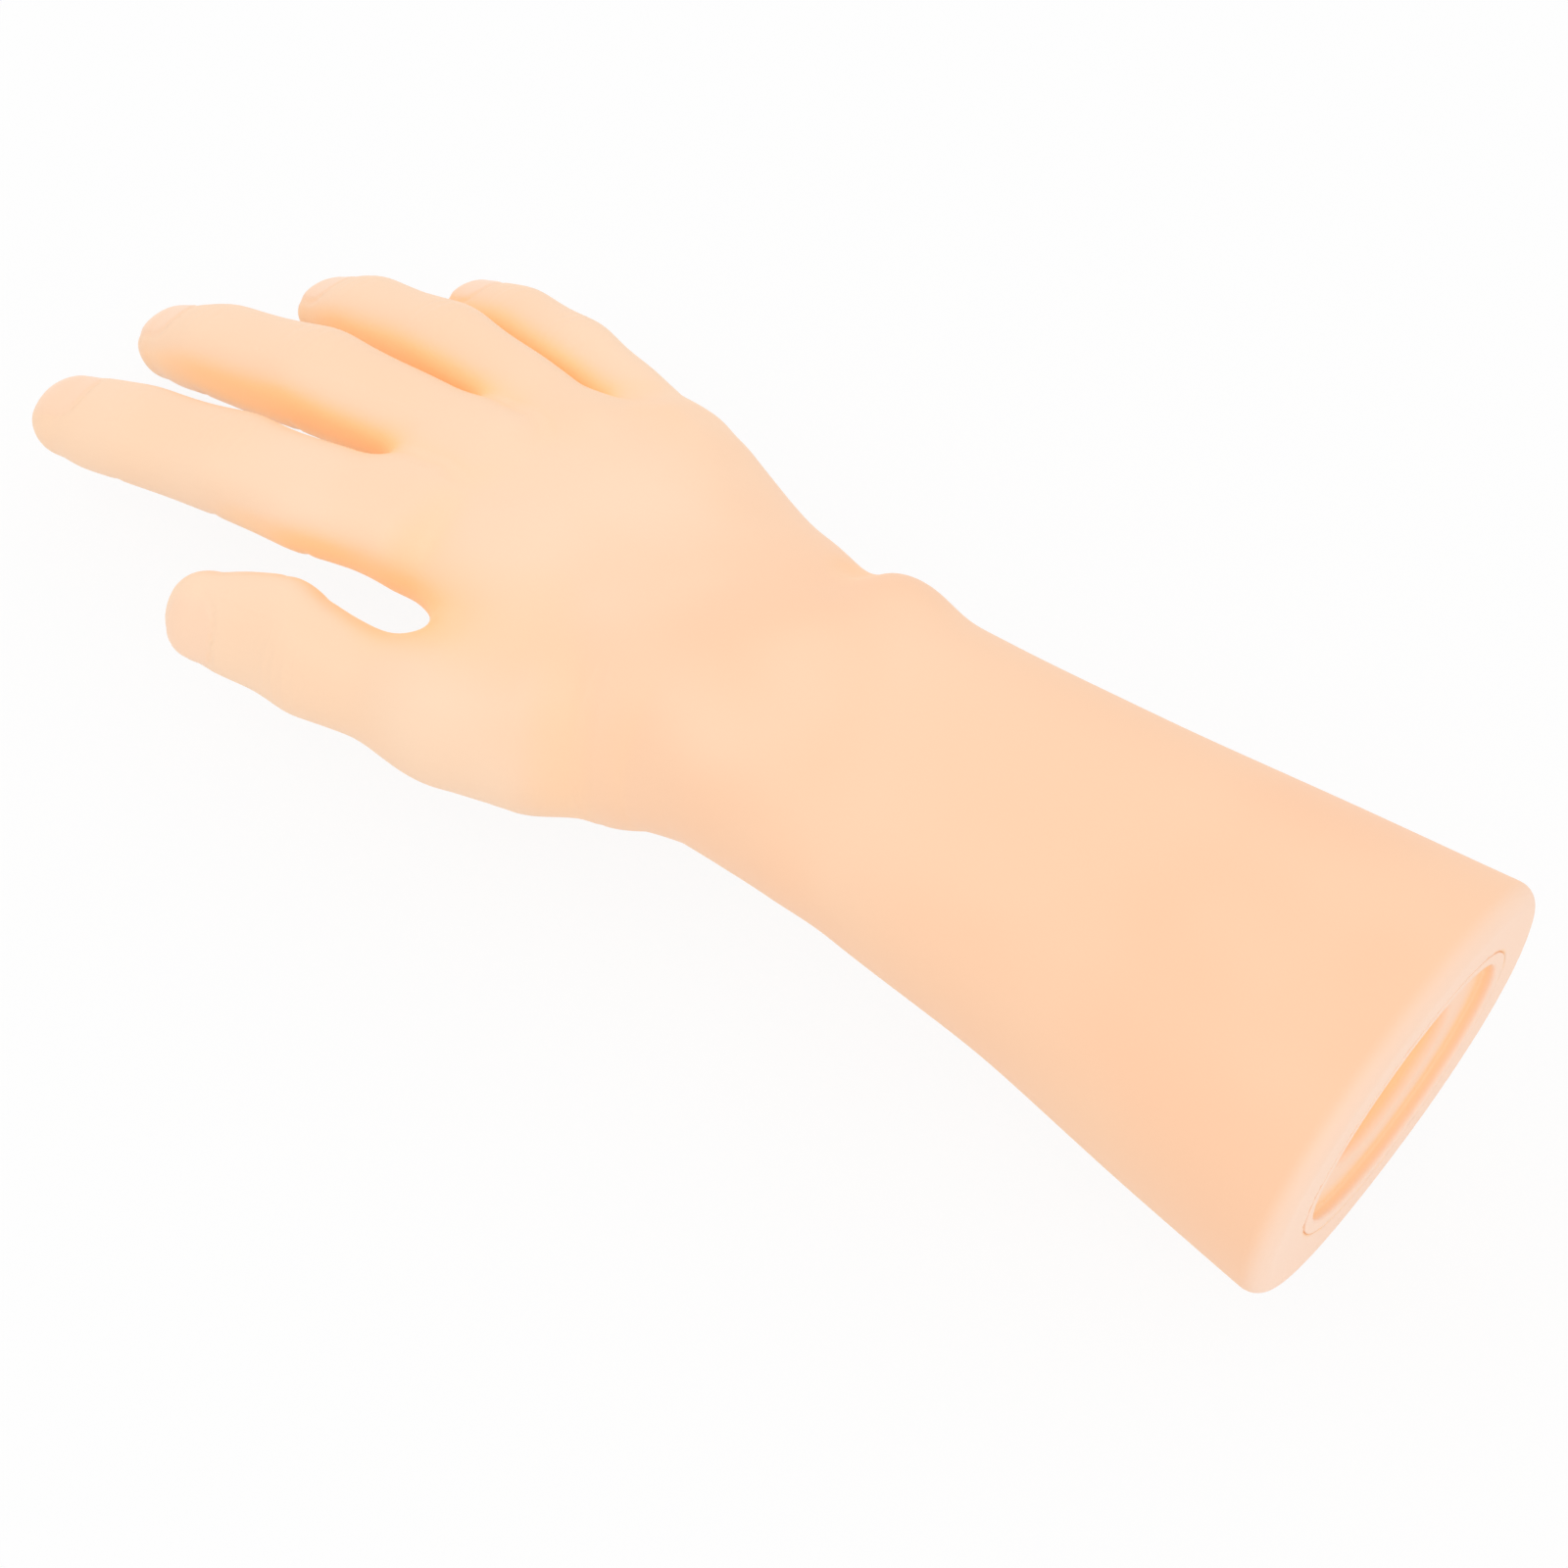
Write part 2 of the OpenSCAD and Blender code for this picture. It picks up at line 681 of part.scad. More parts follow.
middle_fold(little);  // little_middle_fold
tip_link(little);  // little_tip_link
fingertip(little);  // little_fingertip
knuckle_block(thumb);  // thumb_knuckle_block
knuckle_pin(thumb);  // thumb_knuckle_pin
root_fold(thumb);  // thumb_root_fold
first_link(thumb);  // thumb_link
middle_pin(thumb);  // thumb_middle_pin
sleeve(thumb);  // thumb_sleeve
middle_fold(thumb);  // thumb_middle_fold
tip_link(thumb);  // thumb_tip_link
fingertip(thumb);  // thumb_fingertip
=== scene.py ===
import json
import math
import bpy
import numpy as np
from mathutils import Matrix, Vector


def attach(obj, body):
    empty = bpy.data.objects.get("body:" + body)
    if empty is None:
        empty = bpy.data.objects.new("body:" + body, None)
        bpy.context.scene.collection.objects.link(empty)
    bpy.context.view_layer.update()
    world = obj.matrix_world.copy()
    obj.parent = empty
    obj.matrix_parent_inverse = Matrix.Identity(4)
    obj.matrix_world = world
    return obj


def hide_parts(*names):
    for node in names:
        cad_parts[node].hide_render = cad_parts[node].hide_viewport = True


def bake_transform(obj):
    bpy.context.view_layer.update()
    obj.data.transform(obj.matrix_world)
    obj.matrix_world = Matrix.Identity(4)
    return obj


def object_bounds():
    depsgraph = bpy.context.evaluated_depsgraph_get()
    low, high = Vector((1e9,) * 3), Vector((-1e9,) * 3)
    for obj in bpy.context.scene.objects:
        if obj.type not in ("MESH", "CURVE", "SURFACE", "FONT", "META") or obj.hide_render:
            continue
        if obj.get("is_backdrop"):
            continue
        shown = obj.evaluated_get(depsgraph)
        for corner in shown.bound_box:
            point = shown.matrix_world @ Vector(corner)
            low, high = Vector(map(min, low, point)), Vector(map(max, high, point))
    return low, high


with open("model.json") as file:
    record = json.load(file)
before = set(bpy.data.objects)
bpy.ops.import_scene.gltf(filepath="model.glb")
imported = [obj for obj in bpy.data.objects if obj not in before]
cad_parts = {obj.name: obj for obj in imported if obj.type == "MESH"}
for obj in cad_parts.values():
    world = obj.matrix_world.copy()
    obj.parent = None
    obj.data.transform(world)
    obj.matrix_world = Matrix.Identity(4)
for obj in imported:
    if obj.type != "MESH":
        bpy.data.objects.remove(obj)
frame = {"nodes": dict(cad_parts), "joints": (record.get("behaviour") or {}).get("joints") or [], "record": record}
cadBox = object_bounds()
record = frame["record"]
hinges = {j["name"]: j for j in frame["joints"]}
fingerNames = ["index", "middle", "ring", "little"]
digitNames = fingerNames + ["thumb"]

# The skin is worked out in millimetres. A frame is a place and three directions: across, along, up.


# A vector over its own length
def unit(v):
    return np.asarray(v, float) / np.linalg.norm(v)


# The matrix that turns points about an axis by this many degrees
def turnAbout(axis, degrees):
    return np.array(Matrix.Rotation(math.radians(degrees), 3, axis))


# Each point's offset from the frame's place, measured along each of its directions
def toFrame(points, place):
    return (points - place["at"]) @ place["axes"]


# The other way: each direction times its measure, added to the frame's place
def fromFrame(points, place):
    return np.asarray(points, float) @ place["axes"].T + place["at"]


# The arm lies along its tube's bore; the hand is rolled, turned and drooped on the wrist
handPose = {"wrist": 121.0, "roll": 9.0, "turn": 12.0, "droop": 13.0}
bore = next(m for m in record["mounts"] if m["name"] == "arm_tube_bore")
armAlong = -unit(bore["axis"])
armAxes = np.array([[1, 0, 0], armAlong, np.cross([1, 0, 0], armAlong)]).T
armFrame = {"at": np.array(bore["pos_m"]) * 1000, "axes": armAxes}
handTurn = turnAbout("Y", handPose["roll"]) @ turnAbout("Z", -handPose["turn"])
handTurn = handTurn @ turnAbout("X", -handPose["droop"])
handFrame = {"at": fromFrame([0, handPose["wrist"], 0], armFrame), "axes": armFrame["axes"] @ handTurn}


# A digit's path: knuckle, root hinge, middle hinge, outer joint, tip. Each part has a length in mm and a
# bend in degrees. At the places named in digitPlaces, wide, top and under are half sizes, and side and
# lift move the middle across and up. Twist turns the nail and the lines, and blend rounds the digit into
# the palm.
digitPlaces = ["knuckle", "root", "firstMid", "middle", "secondMid", "outer", "lastMid", "tip"]
digitShape = {
    "index": {"behind": 23, "bend": 1, "second": 26, "outerBend": 4, "last": 26, "blend": 8,
              "wide": [12.8, 12.9, 11.8, 11.9, 11.1, 11.5, 11.0, 9.7],
              "top": [8.5, 9.2, 9.2, 9.9, 8.8, 8.4, 7.4, 6.6],
              "under": [10.8, 11.0, 11.0, 10.4, 10.3, 9.4, 9.5, 8.2],
              "side": [-2.4, -3.1, -2.3, -1.6, -1.4, -1.3, -0.9, -0.4],
              "lift": [0, 0, 0, 0.2, 0.4, 0.6, 0.8, 0.8]},
    "middle": {"behind": 23, "bend": 10, "second": 30, "outerBend": 12, "last": 23.7, "blend": 8,
               "wide": [10.5, 10.6, 10.7, 11.2, 10.6, 10.4, 9.6, 8.5],
               "top": [8.5, 9.2, 9.1, 9.8, 8.6, 8.0, 7.0, 6.4],
               "under": [10.5, 10.8, 11.7, 12.0, 11.9, 10.8, 9.8, 8.1],
               "side": [0, -0.4, -0.9, -1.3, -1.5, -1.4, -0.9, -0.4],
               "lift": [0, 0, 0, -0.1, -0.3, -0.3, -0.2, -0.1]},
    "ring": {"behind": 22.5, "bend": 13, "second": 29, "outerBend": 15, "last": 21, "blend": 8,
             "wide": [9.8, 9.1, 9.0, 9.7, 9.2, 9.1, 8.6, 7.8],
             "top": [8.2, 8.8, 8.6, 9.1, 7.8, 7.3, 6.4, 5.9],
             "under": [10.2, 10.2, 10.2, 9.6, 9.4, 8.8, 8.8, 7.6],
             "side": [0, 0.2, -0.2, -0.7, -1.2, -1.4, -1.5, -1.5],
             "lift": [0, 0, -0.5, -1.0, -1.5, -1.8, -1.8, -1.6]},
    "little": {"behind": 21, "bend": 19, "second": 22, "outerBend": 12, "last": 24, "blend": 8,
               "wide": [8.6, 8.0, 7.8, 8.4, 7.9, 7.8, 7.4, 6.8],
               "top": [7.4, 7.6, 7.2, 7.7, 6.8, 6.6, 5.9, 5.3],
               "under": [9.2, 9.0, 8.9, 8.4, 8.1, 7.5, 7.6, 6.6],
               "side": [0.6, 0.9, 0.6, 0.1, 0, 0, 0, 0],
               "lift": [0, -0.6, -1.1, -1.3, -0.7, 0.2, 0.8, 1.0]},
    "thumb": {"behind": 20, "bend": 2, "second": 9, "outerBend": -4, "last": 24, "blend": 12, "twist": 28.0,
              "wide": [13.0, 12.0, 10.4, 12.1, 12.9, 12.3, 10.7, 9.2],
              "top": [12.5, 11.8, 10.6, 10.8, 10.0, 9.2, 8.0, 6.8],
              "under": [13.0, 12.4, 11.4, 11.2, 11.0, 10.8, 10.4, 8.8],
              "side": [0, 0, 0.2, 2.6, 4.5, 5.0, 4.5, 4.2], "lift": [0, 0, 0, 0, 0, 0, 0, 0]},
}


pathShape = {"step": 1.5, "cornerRound": 3.0, "sizeRound": 2.5, "lastMidShare": 0.45}


# A path through a digit's joints, rounded by averaging each place with those near it
def digitPath(name):
    shape = digitShape[name]
    root, middle = hinges[name + "_root_hinge"], hinges[name + "_middle_hinge"]
    rootAt, middleAt = np.array(root["pos_m"]) * 1000, np.array(middle["pos_m"]) * 1000
    across, along = -unit(root["axis"]), unit(middleAt - rootAt)
    up = np.cross(across, along)
    heading = lambda degrees: along * math.cos(math.radians(degrees)) - up * math.sin(math.radians(degrees))
    outerAt = middleAt + heading(shape["bend"]) * shape["second"]
    tipAt = outerAt + heading(shape["bend"] + shape["outerBend"]) * shape["last"]
    corners = np.array([rootAt - along * shape["behind"], rootAt, middleAt, outerAt, tipAt])
    lengths = np.concatenate([[0], np.cumsum(np.linalg.norm(np.diff(corners, axis=0), axis=1))])
    where = np.linspace(0, lengths[-1], math.ceil(lengths[-1] / pathShape["step"]) + 1)
    step = where[1]
    line = np.stack([np.interp(where, lengths, corners[:, k]) for k in range(3)], axis=1)
    line = averaged(line, pathShape["cornerRound"] / step)
    tangent = np.gradient(line, axis=0)
    tangent /= np.linalg.norm(tangent, axis=1)[:, None]
    first, second, last = lengths[2] - lengths[1], lengths[3] - lengths[2], lengths[4] - lengths[3]
    stops = [0, lengths[1], lengths[1] + first / 2, lengths[2], lengths[2] + second / 2, lengths[3],
             lengths[3] + last * pathShape["lastMidShare"], lengths[4] - shape["wide"][-1]]
    sizes = {k: averaged(np.interp(where, stops, shape[k]), pathShape["sizeRound"] / step)
             for k in ("wide", "top", "under", "side", "lift")}
    return {"name": name, "line": line, "tangent": tangent, "across": across,
            "up": np.cross(across, tangent), "where": where, "stops": dict(zip(digitPlaces, stops)),
            "end": stops[-1], "length": lengths[-1], "rootAt": rootAt, "middleAt": middleAt, "along": along,
            **sizes}


# Each row becomes the mean of its neighbours, weighted by a bell curve, with the ends held
def averaged(rows, width):
    reach = int(3 * width + 1)
    bell = np.exp(-0.5 * (np.arange(-reach, reach + 1) / width) ** 2)
    flat = rows.reshape(len(rows), -1)
    padded = np.concatenate([2 * flat[:1] - flat[reach:0:-1], flat, 2 * flat[-1:] - flat[-2:-reach - 2:-1]])
    mixed = sum(w * padded[i:i + len(flat)] for i, w in enumerate(bell / bell.sum()))
    return mixed.reshape(rows.shape)


digits = {name: digitPath(name) for name in digitNames}
print("paths of the digits ready")

# A field gives each point's rough distance from a surface: below zero inside, above zero outside.


# 0 below low, 1 above high and 3t^2 - 2t^3 between them
def smoothStep(x, low, high):
    t = np.clip((x - low) / (high - low), 0, 1)
    return t * t * (3 - 2 * t)


# The lesser of two fields, lowered by up to k / 4 where they are within k of each other
def smoothMin(a, b, k):
    h = np.clip(0.5 + 0.5 * (b - a) / k, 0, 1)
    return b + (a - b) * h - k * h * (1 - h)


# An oval of half sizes a and b and power n, with round ends of depth c where w is past the end: the share
# of the oval's size that each point lies at, less one, over how fast that share grows there
def ovalDistance(u, v, w, a, b, c, n=2.0):
    ru, rv, rw = np.abs(u) / a, np.abs(v) / b, np.abs(w) / c
    size = (ru ** n + rv ** n + rw ** n + 1e-9) ** (1 / n)
    slope = np.sqrt((ru ** (n - 1) / a) ** 2 + (rv ** (n - 1) / b) ** 2 + (rw ** (n - 1) / c) ** 2) + 1e-9
    return (size - 1) * size ** (n - 1) / slope


tubeShape = {"spots": 120, "round": 4.0}


# A straight tube along y: the oval at each y, with its middle and half sizes from a rounded table
def tubeDistance(local, table, n, endDepth):
    y = np.clip(local[:, 1], table[0][0], table[-1][0])
    spots = np.linspace(table[0][0], table[-1][0], tubeShape["spots"])
    keys = np.array(table, float)
    smooth = [averaged(np.interp(spots, keys[:, 0], keys[:, k]), tubeShape["round"]) for k in range(1, 6)]
    midX, midZ, wide, top, under = [np.interp(y, spots, s) for s in smooth]
    u, v, w = local[:, 0] - midX, local[:, 2] - midZ, local[:, 1] - y
    return ovalDistance(u, v, w, wide, np.where(v > 0, top, under), endDepth, n)


farOff = 1e3


# Balls of changing size in a row, joined by cones: the least, over the row, of the distance from the
# nearest place on each cone's middle line less the radius there
def ballsDistance(local, balls):
    best = np.full(len(local), farOff)
    for p, q in zip(balls[:-1], balls[1:]):
        a, b = np.array(p[:3], float), np.array(q[:3], float)
        t = np.clip((local - a) @ (b - a) / ((b - a) @ (b - a)), 0, 1)
        gap = np.linalg.norm(local - a - t[:, None] * (b - a), axis=1)
        best = np.minimum(best, gap - p[3] - t * (q[3] - p[3]))
    return best


# Along, across and up of each point against a digit's path. Between the nearest step of the path and the
# next, the place is shared by how far the point is from the plane across each.
def digitPlace(points, digit):
    line, tangent = digit["line"], digit["tangent"]
    nearest = ((points[:, None, :] - line[None, :, :]) ** 2).sum(2).argmin(1)
    ahead = ((points - line[nearest]) * tangent[nearest]).sum(1)
    other = np.clip(nearest + np.where(ahead > 0, 1, -1), 0, len(line) - 1)
    behind = ((points - line[other]) * tangent[other]).sum(1)
    span = np.where(np.abs(ahead - behind) < 1e-6, 1e6, ahead - behind)
    share = np.clip(ahead / span, 0, 1)[:, None]
    offset = points - line[nearest] - (line[other] - line[nearest]) * share
    along = tangent[nearest] + (tangent[other] - tangent[nearest]) * share
    up = digit["up"][nearest] + (digit["up"][other] - digit["up"][nearest]) * share
    where = digit["where"][nearest] + (digit["where"][other] - digit["where"][nearest]) * share[:, 0]
    s = where + (offset * along).sum(1)
    side, lift = (np.interp(s, digit["where"], digit[k]) for k in ("side", "lift"))
    return s, offset @ digit["across"] - side, (offset * up).sum(1) - lift


creaseShape = {"upper": (1.0, 5.0), "lower": (3.0, 8.0),
               "knuckleLines": [-5.2, -2.6, 0.2, 2.8, 5.4], "knuckleDeep": 0.16,
               "outerLines": [-2.4, 0.2, 2.6], "outerDeep": 0.12,
               "lineBroad": 0.75, "lineShare": 0.62, "lineBow": 0.5, "swell": 1.5, "swellBroad": 5.0,
               "palmDeep": 0.5, "thumbPalmDeep": 0.2, "palmBroad": 1.2, "rootBack": 4.0,
               "nailBack": 1.6, "nailLong": 13.0, "nailShare": 0.74, "nailDeep": 0.28, "nailEdge": 0.085,
               "nailHigh": 0.10, "nailRise": 0.15, "nailFade": (-0.04, 0.06)}


# Height over the digit's plain surface, and the nail's share. Each crease is a bell curve along the digit
# that is taken away, with a broad low swelling round the knuckle lines; the nail is an oval with a groove
# round it.
def digitRelief(s, u, v, digit):
    shape, stops = creaseShape, digit["stops"]
    twist = math.radians(digitShape[digit["name"]].get("twist", 0))
    u, v = u * math.cos(twist) + v * math.sin(twist), v * math.cos(twist) - u * math.sin(twist)
    upper, lower = smoothStep(v, *shape["upper"]), smoothStep(-v, *shape["lower"])
    wide = np.interp(s, digit["where"], digit["wide"])
    middleAt, outerAt = stops["middle"], stops["outer"]
    height = np.zeros(len(s))
    lineSets = [(outerAt, shape["outerLines"], shape["outerDeep"]),
                (middleAt, shape["knuckleLines"], shape["knuckleDeep"])]
    palmSpots, palmDeep = [stops["root"] - shape["rootBack"], middleAt, outerAt], shape["palmDeep"]
    if digit["name"] == "thumb":
        lineSets, palmSpots, palmDeep = lineSets[1:], palmSpots[1:], shape["thumbPalmDeep"]
    for centre, lines, deep in lineSets:
        for k in lines:
            bow = k * (1 - shape["lineBow"] * (u / wide) ** 2)
            within = np.exp(-(u / (shape["lineShare"] * wide)) ** 4)
            height -= deep * upper * np.exp(-((s - centre - bow) / shape["lineBroad"]) ** 2) * within
        height += shape["swell"] * deep * upper * np.exp(-((s - centre) / shape["swellBroad"]) ** 2)
    for centre in palmSpots:
        height -= palmDeep * lower * np.exp(-((s - centre) / shape["palmBroad"]) ** 2)
    nailEnd = digit["length"] - shape["nailBack"]
    nailU = u / (shape["nailShare"] * wide)
    nailS = (s - nailEnd + shape["nailLong"] / 2) / (shape["nailLong"] / 2)
    edge = (np.abs(nailU) ** 3 + np.abs(nailS) ** 3) ** (1 / 3) - 1
    height -= shape["nailDeep"] * upper * np.exp(-(edge / shape["nailEdge"]) ** 2)
    height += shape["nailHigh"] * upper * smoothStep(-edge, 0, shape["nailRise"])
    return height, upper * smoothStep(-edge, *shape["nailFade"])


digitOval = {"power": 2.15, "backDepth": 8.0}


# The oval of the digit's half sizes at each place along it, rounded past its ends, less the relief
def digitDistance(points, digit):
    s, u, v = digitPlace(points, digit)
    inside = np.clip(s, 0, digit["end"])
    a, top, under = (np.interp(inside, digit["where"], digit[k]) for k in ("wide", "top", "under"))
    far = s - inside
    depth = np.where(far > 0, digit["length"] - digit["end"], digitOval["backDepth"])
    plain = ovalDistance(u, v, far, a, np.where(v > 0, top, under), depth, digitOval["power"])
    return plain - digitRelief(s, u, v, digit)[0]


# Tables of: along, middle across, middle up, half width, top, underside
armShape = {"from": -23.5, "lean": 0.025, "rim": 4.8, "power": 2.2,
            "table": [[-40, -0.8, 0, 50.8, 40.3, 40.8], [-22, -1.2, 0, 48.4, 38.2, 39.0],
                      [13.7, -0.7, 0, 43.7, 33.9, 34.9], [49.5, 0, 0, 38.3, 29.2, 30.0],
                      [83.8, -0.5, 0, 35.3, 25.6, 26.8], [108, 0.2, 0, 32.8, 24, 24.8],
                      [122, 0.6, 0, 31.6, 22.5, 23.5], [150, 0.6, 0, 31.0, 20, 22]]}
palmShape = {"power": 2.5, "endDepth": 9.0, "from": -14.0, "whole": 20.0,
             "table": [[-24, -1, 0, 31, 21.5, 23.5], [0, 0.2, 0, 31.3, 20.6, 22.5],
                       [12, 2.5, 0, 31.6, 20, 21.5], [28, 4.2, -0.5, 31.9, 17.8, 19.5],
                       [46, 7.6, -1, 33.8, 15.5, 18], [62, 10.3, -1.5, 36.2, 15, 17],
                       [76, 9.5, -1.5, 37, 13.5, 16], [87, 4.5, -1.5, 31.5, 11.5, 14],
                       [96, -1, -0.5, 24, 9.5, 11]]}
# Rows of balls: across, along, up, radius; each join is how far the row is rounded into the palm
padShape = {"thumbBall": [[-17, -20, -5, 10], [-17.5, 3, -7, 12.6], [-22, 22.5, -9.4, 18.2],
                          [-31, 41, -10.5, 15.0], [-40, 53, -11, 12.5]], "thumbBallJoin": 16.0,
            "thumbWeb": [[-12.5, 65.5, -2.5, 10.5], [-28, 44, -7, 10.5]], "thumbWebJoin": 12.0,
            "heel": [[22.5, 14, -9, 11], [30, 42, -8, 11], [33.5, 58, -5, 10.5]], "heelJoin": 10.0,
            "webHollow": [[-38, 60, 4], [-40, 45, 7]], "webHollowDeep": 2.4, "webHollowBroad": 8.0}
# Soft ridges and hollows on the back of the hand, as points across and along. The wrist's bone is a ball
# and its notch a bell: across, along, up, radius or breadth, and the notch's depth.
backShape = {
    "back": (0, 8), "front": (2, 9), "fadeIn": (14, 34), "fadeOut": (-98, -84),
    "tendons": [[[-4, 18], [-10, 60], [-15.5, 92]], [[1, 16], [2, 58], [6, 92]],
                [[7, 18], [15, 52], [24, 84]], [[13, 18], [27, 46], [39, 72]]],
    "tendonHigh": [0.35, 0.4, 0.45, 0.4], "tendonBroad": 4.2,
    "knuckles": [[-15.5, 91], [6, 91], [24, 83], [39.5, 71]],
    "knuckleHigh": [1.2, 1.4, 1.3, 1.1], "knuckleBroad": 9.5,
    "valleys": [[[-5, 96], [-5, 74]], [[15.5, 92], [13, 70]], [[32, 82], [28, 62]]],
    "valleyDeep": 0.5, "valleyBroad": 5.0,
    "wristHollow": [16, 2, 1.5, 9], "wristBone": [24.2, 111.5, 7.4, 7.6], "wristBoneJoin": 10.0,
    "wristNotch": [28.5, 124, 11, 4.5, 1.8]}
palmLines = {"lines": [[[-22, 76], [-8, 70], [14, 71], [34, 62]], [[-26, 66], [-6, 56], [16, 46], [30, 34]],
                       [[-24, 68], [-8, 56], [-2, 36], [-6, 12]], [[-18, 2], [0, 0], [22, 3]]],
             "deep": 0.7, "broad": 1.3}
capShape = {"wide": 68.0, "high": 54.0, "recessDeep": 2.6, "hollowWide": 37.0, "hollowHigh": 27.0,
            "hollowEnd": -0.5, "collarWall": 3.0}


# Distance in a plane from a line through points: the least of the distances from its stretches
def lineGap(x, y, line):
    best = np.full(len(x), farOff)
    for (ax, ay), (bx, by) in zip(line[:-1], line[1:]):
        t = np.clip(((x - ax) * (bx - ax) + (y - ay) * (by - ay)) / ((bx - ax) ** 2 + (by - ay) ** 2), 0, 1)
        best = np.minimum(best, np.hypot(x - ax - t * (bx - ax), y - ay - t * (by - ay)))
    return best


# Height of tendons, knuckles, valleys and palm lines over the plain form: bell curves round their lines
def handRelief(hand):
    x, y, z = hand.T
    back, front = smoothStep(z, *backShape["back"]), smoothStep(-z, *backShape["front"])
    height = np.zeros(len(x))
    for line, high in zip(backShape["tendons"], backShape["tendonHigh"]):
        fade = smoothStep(y, *backShape["fadeIn"]) * smoothStep(-y, *backShape["fadeOut"])
        height += back * high * fade * np.exp(-(lineGap(x, y, line) / backShape["tendonBroad"]) ** 2)
    for (kx, ky), high in zip(backShape["knuckles"], backShape["knuckleHigh"]):
        height += back * high * np.exp(-(((x - kx) ** 2 + (y - ky) ** 2) / backShape["knuckleBroad"] ** 2))
    for line in backShape["valleys"]:
        gap = lineGap(x, y, line) / backShape["valleyBroad"]
        height -= back * backShape["valleyDeep"] * np.exp(-gap ** 2)
    hx, hy, deep, broad = backShape["wristHollow"]
    height -= back * deep * np.exp(-(((x - hx) ** 2 + (y - hy) ** 2) / broad ** 2))
    for line in palmLines["lines"]:
        height -= front * palmLines["deep"] * np.exp(-(lineGap(x, y, line) / palmLines["broad"]) ** 2)
    return height


# Arm and palm mixed by how far along the hand each point is, then the heel, the thumb's ball, the web and
# the wrist bone rounded in, the wrist's notch and the web's hollow taken out, and the relief added
def bodyDistance(points):
    arm, hand = toFrame(points, armFrame), toFrame(points, handFrame)
    palmShare = smoothStep(hand[:, 1], palmShape["from"], palmShape["whole"])
    body = (tubeDistance(arm, armShape["table"], armShape["power"], palmShape["endDepth"]) * (1 - palmShare)
            + tubeDistance(hand, palmShape["table"], palmShape["power"], palmShape["endDepth"]) * palmShare)
    for pad in ("heel", "thumbBall", "thumbWeb"):
        body = smoothMin(body, ballsDistance(hand, padShape[pad]), padShape[pad + "Join"])
    bone = np.array(backShape["wristBone"])
    body = smoothMin(body, np.linalg.norm(arm - bone[:3], axis=1) - bone[3], backShape["wristBoneJoin"])
    notch = np.array(backShape["wristNotch"])
    body += notch[4] * np.exp(-((arm - notch[:3]) ** 2).sum(1) / notch[3] ** 2)
    webGap = ballsDistance(hand, [spot + [0] for spot in padShape["webHollow"]])
    body += padShape["webHollowDeep"] * np.exp(-(webGap / padShape["webHollowBroad"]) ** 2)
    return body - handRelief(hand)


webShape = {"near": 30.0, "grown": 3.0, "least": 0.3, "most": 2.4, "from": -7.0, "to": -1.0, "fill": 0.25}


# The whole skin: arm and hand, each digit rounded into it, and the webs rounded where two digits meet.
# Behind the arm's end the distance is the one from the rounded edge between the side and the end face.
def skinDistance(points):
    body = bodyDistance(points)
    skin = body.copy()
    for name in digitNames:
        digit = digits[name]
        low, high = digit["line"].min(0) - webShape["near"], digit["line"].max(0) + webShape["near"]
        near = np.flatnonzero(((points > low) & (points < high)).all(1))
        if not len(near):
            continue
        withDigit = smoothMin(digitDistance(points[near], digit), body[near], digitShape[name]["blend"])
        grown = np.minimum(body[near] - skin[near], body[near] - withDigit) / webShape["grown"]
        grown = np.clip(grown, 0, 1)
        atRoot = smoothStep(-body[near], webShape["from"], webShape["to"])
        soft = webShape["least"] + webShape["most"] * grown * atRoot
        skin[near] = smoothMin(skin[near], withDigit, soft) + soft * webShape["fill"] * (1 - grown)
    arm = toFrame(points, armFrame)
    behind = armShape["from"] - arm[:, 1] - armShape["lean"] * arm[:, 0] + armShape["rim"]
    within = skin + armShape["rim"]
    outside = np.hypot(np.maximum(within, 0), np.maximum(behind, 0))
    deeper = np.maximum(within, behind)
    return np.where(deeper > 0, outside, deeper) - armShape["rim"]


roomShape = {"plugWall": 3.0, "collarWall": 2.0, "collarEnd": 0.8, "tubeRadius": 10.0, "tubeEnd": 62.0,
             "mouthRound": 0.6}


# Distance from a straight oval plug along the arm
def plugDistance(arm, wide, high):
    return ovalDistance(arm[:, 0], arm[:, 2], 0 * arm[:, 0], wide, high, 1.0)


# The room cut for the cap: the least of an oval plug, its collar and the bore of the tube
def capRoom(points):
    arm, room, cap = toFrame(points, armFrame), roomShape, capShape
    end, y = armShape["from"], arm[:, 1] + armShape["lean"] * arm[:, 0]
    hole = np.maximum(plugDistance(arm, cap["wide"] / 2, cap["high"] / 2),
                      y - end - cap["recessDeep"] - room["plugWall"])
    collar = np.maximum(plugDistance(arm, cap["hollowWide"] / 2 + room["collarWall"],
                                     cap["hollowHigh"] / 2 + room["collarWall"]), y - room["collarEnd"])
    tube = np.maximum(np.hypot(arm[:, 0], arm[:, 2]) - room["tubeRadius"], arm[:, 1] - room["tubeEnd"])
    return np.minimum(np.minimum(hole, collar), tube)


# The skin with that room cut out of it: the greater of the two fields, rounded at the mouth's edge
def gloveDistance(points):
    skin, room = skinDistance(points), -capRoom(points)
    k = roomShape["mouthRound"]
    h = np.clip(0.5 - 0.5 * (room - skin) / k, 0, 1)
    return room + (skin - room) * h + k * h * (1 - h)


# A field's values at many points, worked out a chunk at a time
def inChunks(field, points, size=60000):
    return np.concatenate([field(points[i:i + size]) for i in range(0, len(points), size)])


